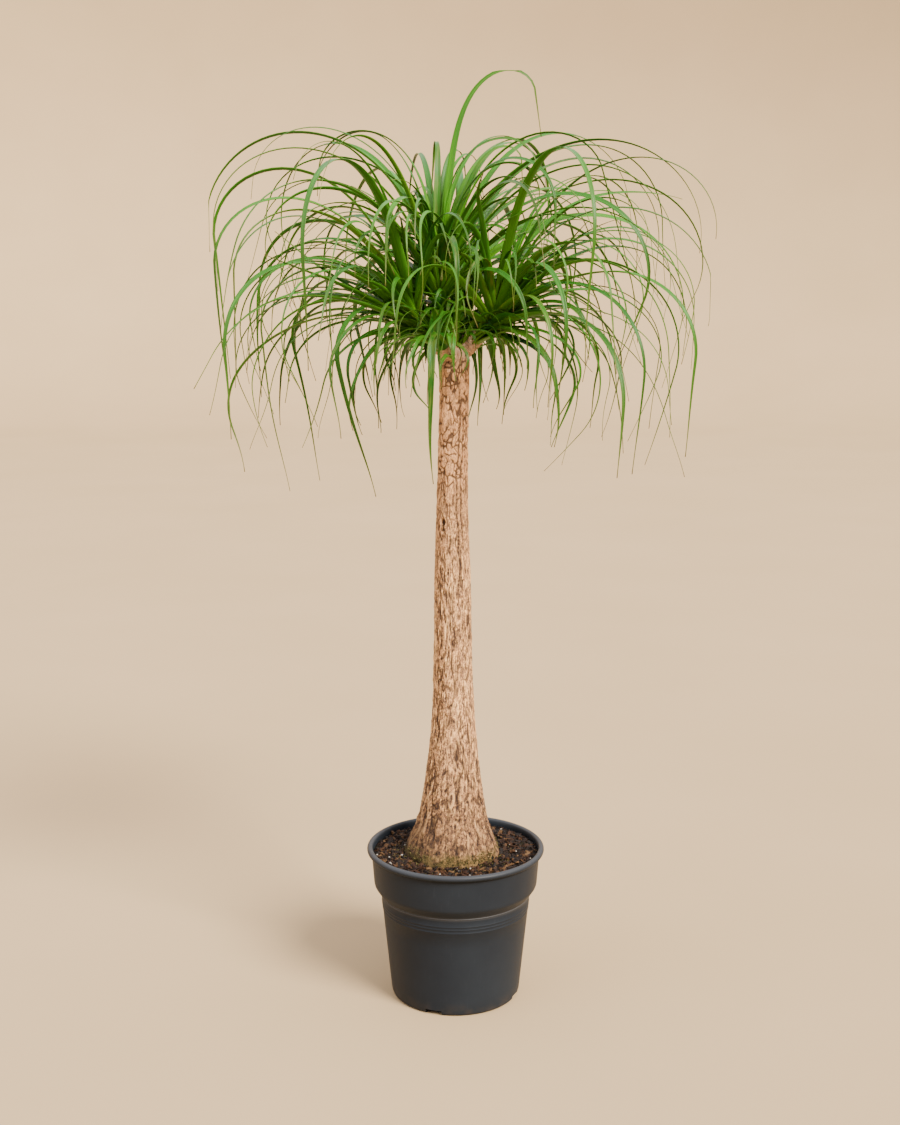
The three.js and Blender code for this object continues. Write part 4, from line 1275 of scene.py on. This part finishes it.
def sheath_leaves(head, count, draw):
    """Short broad leaves whose bases clasp a stub all round and hide its bark."""
    leaves = []
    fork = np.array(fork_point())
    stem = unit(seat_of(head) - fork)
    side = unit(np.cross(stem, (0, 0, 1)))
    other = np.cross(stem, side)
    for i in range(count):
        turn = math.radians(i * GOLDEN_ANGLE)
        out = math.cos(turn) * side + math.sin(turn) * other
        aim = unit(stem + out * mix(*SHEATH["splay"], draw()) + np.array((0, 0, 0.25)))
        leaf = leaf_of(head, SHEATH["age"], turn, 1, draw)
        leaf.update(
            root=fork + stem * mix(*SHEATH["root"], draw()) + out * STUB_RADIUS * 0.85,
            heading=math.atan2(aim[1], aim[0]),
            launch=math.asin(aim[2]),
            length=mix(*SHEATH["length"], draw() ** 1.4),
            width=mix(*SHEATH["width"], draw()),
            bend=mix(*SHEATH["bend"], draw()),
            hang_from=mix(*SHEATH["hang_from"], draw()),
            twist=mix(*SHEATH["twist"], draw()),
            fresh=YOUNG_FRESHNESS,
        )
        leaves.append(leaf)
    return leaves


def blade_tone(leaf, draw):
    """How fresh, how dry and how cool a leaf's green is."""
    fresh = mix(leaf.get("fresh", 0.0), 1.0, draw())
    dry = max(0.0, draw() * 1.6 - 1.05) * (1 - leaf["age"])
    return fresh, dry, draw() ** 2 * 0.35, 1


def grow_blade(bm, leaf, look, draw):
    """Bends a flat grid along a leaf's spine into a channelled, tapering blade with a slightly wavy end."""
    s = np.arange(SPINE_STEPS + 1) / SPINE_STEPS
    spine = spine_of(leaf)
    across, normal = blade_frames(leaf, s)
    height = WAVE_HEIGHT * mix(*WAVE_BY_AGE, min(1, 2 * leaf["age"])) * (leaf["length"] / LEAF_LENGTH) ** 0.6
    swing = height * s**1.5
    spine = spine + across * (swing * np.sin(s * mix(4, 10, draw()) + draw() * 6))[:, None]
    spine = spine + normal * (swing * np.sin(s * mix(5, 12, draw()) + draw() * 6))[:, None]
    width = np.maximum(LEAF_TIP_WIDTH, leaf["width"] * width_share(s) ** BLADE_FULLNESS)
    channel = LEAF_KEEL * width
    tone = blade_tone(leaf, draw)
    grid = bmesh.ops.create_grid(bm, x_segments=BLADE_COLUMNS, y_segments=SPINE_STEPS, size=0.5,
                                 calc_uvs=True)
    for vert in grid["verts"]:
        row = round((vert.co.y + 0.5) * SPINE_STEPS)
        side = vert.co.x * 2
        sunk = -channel[row] * (1 - abs(side) ** 1.4)
        place = spine[row] + across[row] * (side * width[row] / 2) + normal[row] * sunk
        vert.co = [min(high, max(low, each * MM)) for low, high, each in zip(*CROWN_BOX, place)]
        vert[look] = tone


def make_core(bm, head, look):
    """The short leaf-base core of a head."""
    seat = Vector(head["seat"]) * MM
    fork = Vector(fork_point()) * MM
    skin = [(CORE_RADIUS * MM * width, CORE_LENGTH * MM * height) for width, height in CORE_SHAPE]
    core = spun([(0.0, 0.0)] + skin + [(0.0, CORE_LENGTH * MM)], CORE_SIDES)
    stand(core, seat, seat - fork)
    blade = bm.loops.layers.uv["blade"]
    for vert in join(bm, core):
        vert[look] = (0, 0, 0, 1)
        for loop in vert.link_loops:
            loop[blade].uv = CORE_UV


def make_head(name, leaves, material, draw):
    bm = bmesh.new()
    bm.loops.layers.uv.new("blade")
    look = bm.verts.layers.float_color.new("look")
    make_core(bm, HEADS[name], look)
    for leaf in leaves:
        grow_blade(bm, leaf, look, draw)
    piece = finished(f"leaf_head_{name}", bm, material, f"leaves_{name}")
    wall = piece.modifiers.new("blade thickness", "SOLIDIFY")
    wall.thickness = LEAF_THICKNESS
    wall.offset = 0


def make_heads():
    material = leaf_finish()
    placed = place_leaves()
    placed["centre"][0]["roll"] = TALLEST_LEAF_ROLL
    draw = seeded_draw(SLIM_SEED)
    for name, leaves in placed.items():
        head, filling = HEADS[name], FILLING[name]
        leaves += slim_leaves(head, filling["slim"], draw)
        leaves += spear_leaves(head, filling["spears"], draw)
        leaves += skirt_leaves(head, filling["skirt"], draw)
        leaves += sheath_leaves(head, filling["sheath"], draw)
        make_head(name, leaves, material, draw)


# ---- Potting mix ----


def ground_height(x, y):
    """Height of the mix's surface, heaped a little towards the trunk."""
    share = 1 - min(1, math.hypot(x, y) / SOIL_RIM_RADIUS)
    rough = noise.noise(Vector((x, y, 0)) * 45) + 0.5 * noise.noise(Vector((x, y, 0.3)) * 130)
    return SOIL_EDGE_Z + SOIL_HEAP * share + SOIL_UNEVENNESS * rough


def make_ground():
    floor_z = FLOOR_RECESS + FLOOR_THICKNESS + SOIL_GAP
    corner = (body_radius(SOIL_CORNER_Z), SOIL_CORNER_Z)
    wall = [corner, (SHOULDER_RADIUS, SHOULDER_Z), (BAND_FOOT_RADIUS, BAND_FOOT_Z)]
    wall = [(radius - SOIL_WALL_INSET, z) for radius, z in wall]
    top = [(SOIL_RIM_RADIUS * (1 - i / SOIL_RINGS), SOIL_EDGE_Z) for i in range(SOIL_RINGS + 1)]
    bm = spun([(0.0, floor_z), (BODY_FOOT_RADIUS - SOIL_FOOT_INSET, floor_z)] + wall + top, SOIL_SIDES)
    for vert in bm.verts:
        if vert.co.z > SOIL_EDGE_Z - 0.001:
            vert.co.z = ground_height(vert.co.x, vert.co.y)
    finished("mix_ground", bm, soil_finish(), "potting_mix")


def scatter_place(draw):
    """A place on the ring of mix between the trunk and the pot's wall."""
    reach = math.sqrt(mix(LITTER_INNER_RADIUS**2, LITTER_OUTER_RADIUS**2, draw()))
    turn = draw() * math.tau
    return reach * math.cos(turn), reach * math.sin(turn)


def tumble(draw, tilt):
    """A turn about the upright axis with a tilt to either side."""
    lean = Matrix.Rotation((draw() - 0.5) * 2 * tilt, 4, "X")
    lean = lean @ Matrix.Rotation((draw() - 0.5) * 2 * tilt, 4, "Y")
    return Matrix.Rotation(draw() * math.tau, 4, "Z") @ lean


def settle(bm, place, size, sunk, draw, tilt=0.5):
    """Scales a small shape, roughens it and lays it on the ground."""
    x, y = place
    rough = Vector((draw() * 50, draw() * 50, draw() * 50))
    for vert in bm.verts:
        vert.co += noise.noise_vector(vert.co * 1.7 + rough) * ROUGHENING
    bmesh.ops.scale(bm, vec=size, verts=bm.verts)
    lift = ground_height(x, y) + size[2] * (0.5 - sunk)
    bmesh.ops.transform(bm, matrix=Matrix.Translation((x, y, lift)) @ tumble(draw, tilt), verts=bm.verts)


def chip(draw):
    bm = bmesh.new()
    bmesh.ops.create_cube(bm, size=1)
    bmesh.ops.bevel(bm, geom=bm.edges[:], offset=CHIP_BEVEL, offset_type="OFFSET", segments=1, profile=0.5,
                    affect="EDGES", material=-1)
    length = mix(*CHIP_LENGTH, draw() ** 1.5)
    size = (length, length * mix(*CHIP_WIDTH_SHARE, draw()), mix(*CHIP_THICKNESS, draw()))
    settle(bm, scatter_place(draw), size, mix(0.0, 0.3, draw()), draw, 0.7)
    return bm, draw()


def crumb(draw):
    bm = bmesh.new()
    bmesh.ops.create_icosphere(bm, subdivisions=1, radius=0.5)
    width = mix(*CRUMB_WIDTH, draw() ** 2)
    size = (width, width * mix(0.6, 1.0, draw()), width * mix(0.5, 0.9, draw()))
    settle(bm, scatter_place(draw), size, 0.1, draw)
    return bm, draw() * 0.8


def fibre(draw):
    """A thin sliver of wood."""
    bm = bmesh.new()
    bmesh.ops.create_cone(bm, segments=5, radius1=0.5, radius2=0.15, depth=1, cap_ends=True)
    bmesh.ops.rotate(bm, verts=bm.verts, cent=(0, 0, 0), matrix=Matrix.Rotation(math.pi / 2, 3, "Y"))
    width = mix(*FIBRE_WIDTH, draw())
    size = (mix(*FIBRE_LENGTH, draw()), width, width)
    settle(bm, scatter_place(draw), size, -1.4, draw, 0.25)
    return bm, mix(0.6, 1.0, draw())


def grit(draw):
    bm = bmesh.new()
    bmesh.ops.create_icosphere(bm, subdivisions=2, radius=0.5)
    width = mix(*GRIT_WIDTH, draw() ** 1.5)
    size = (width, width * mix(0.7, 1.0, draw()), width * 0.8)
    settle(bm, scatter_place(draw), size, -0.4, draw)
    return bm, 1.0


def scatter(name, material, kinds, draw):
    """One piece of many small shapes, each with its own tone."""
    whole = bmesh.new()
    tone_layer = whole.verts.layers.float_color.new("tone")
    for make, count in kinds:
        for _ in range(count):
            part, tone = make(draw)
            for vert in join(whole, part):
                vert[tone_layer] = (tone, tone, tone, 1)
    finished(name, whole, material, "potting_mix", False)


def moss_place(draw):
    """A place on the trunk's foot or on the mix beside it where moss grows."""
    while True:
        turn = draw() * math.tau
        rise = draw() ** 1.6 * MOSS_CLIMB
        out = draw() ** 1.7 * MOSS_SPREAD if rise < 0.004 else 0
        patchy = noise.noise(Vector((turn * 2.2, rise * 90, 0)))
        if draw() < moss_share(turn, SOIL_LINE + rise + out * 0.6, patchy):
            break
    z = SOIL_LINE + rise - MOSS_ROOT_DEPTH
    middle_x, middle_y = trunk_middle(z)
    reach = trunk_radius(z) + out
    x = middle_x + reach * math.cos(turn)
    y = middle_y + reach * math.sin(turn)
    return x, y, ground_height(x, y) if out else z, turn


def moss_blade(draw):
    x, y, z, turn = moss_place(draw)
    root, tip = MOSS_BLADE_RADII
    bm = bmesh.new()
    bmesh.ops.create_cone(bm, segments=4, radius1=root, radius2=tip, depth=1, cap_ends=True)
    bmesh.ops.translate(bm, vec=(0, 0, 0.5), verts=bm.verts)
    bmesh.ops.scale(bm, vec=(1, 1, mix(*MOSS_BLADE_LENGTH, draw())), verts=bm.verts)
    lean = Matrix.Rotation(mix(0.3, 1.2, draw()), 4, "Y")
    turned = Matrix.Rotation(turn + (draw() - 0.5) * 1.6, 4, "Z")
    bmesh.ops.transform(bm, matrix=Matrix.Translation((x, y, z)) @ turned @ lean, verts=bm.verts)
    return bm, draw()


def make_litter():
    draw = seeded_draw(LITTER_SEED)
    kinds = [(chip, CHIP_COUNT), (crumb, CRUMB_COUNT), (fibre, FIBRE_COUNT)]
    scatter("mix_chips", litter_finish(), kinds, draw)
    scatter("mix_grit", grit_finish(), [(grit, GRIT_COUNT)], draw)
    scatter("foot_moss", moss_finish(), [(moss_blade, MOSS_BLADE_COUNT)], seeded_draw(MOSS_SEED))


# ---- Stage ----


def make_floor():
    """A round studio floor whose far edge curves up all round, so that no horizon shows."""
    edge = arc(FLOOR_REACH, FLOOR_BEND, FLOOR_BEND, -90, 0, 16)
    bm = spun([(0.0, 0.0), (2, 0.0)] + edge + [(FLOOR_REACH + FLOOR_BEND, FLOOR_RISE)], FLOOR_SIDES)
    material, tree, shader = new_finish("pale floor", Roughness=0.9, Specular_IOR_Level=0.1)
    tone = pattern(tree, place_of(tree), 1.5, 3)
    dress(tree, shader, ramp(tree, tone, [(0.3, "988365"), (0.7, "9b8668")]))
    meshed("floor", bm, material)


def make_lamp(name, kind, place, power, colour, size):
    """A soft lamp that points at the plant. A sun's size is its angle in degrees."""
    light = bpy.data.lights.new(name, kind)
    light.energy = power
    light.color = colour
    if kind == "SUN":
        light.angle = math.radians(size)
    else:
        light.size = size
    lamp = linked(name, light)
    lamp.location = place
    lamp.rotation_euler = (Vector(LAMP_TARGET) - Vector(place)).to_track_quat("-Z", "Y").to_euler()


def make_light():
    for lamp in LAMPS:
        make_lamp(*lamp)
    world = bpy.data.worlds.new("pale room")
    bpy.context.scene.world = world
    world.use_nodes = True
    background = world.node_tree.nodes["Background"]
    background.inputs["Color"].default_value = tint(WORLD_COLOUR)
    background.inputs["Strength"].default_value = WORLD_STRENGTH


def make_camera():
    camera = linked("camera", bpy.data.cameras.new("camera"))
    camera.data.lens = CAMERA_LENS
    camera.location = CAMERA_PLACE
    camera.rotation_euler = (CAMERA_TILT, 0, 0)
    bpy.context.scene.camera = camera


make_camera()
make_floor()
make_light()
make_pot()
make_ground()
make_litter()
make_trunk()
make_stubs()
make_heads()
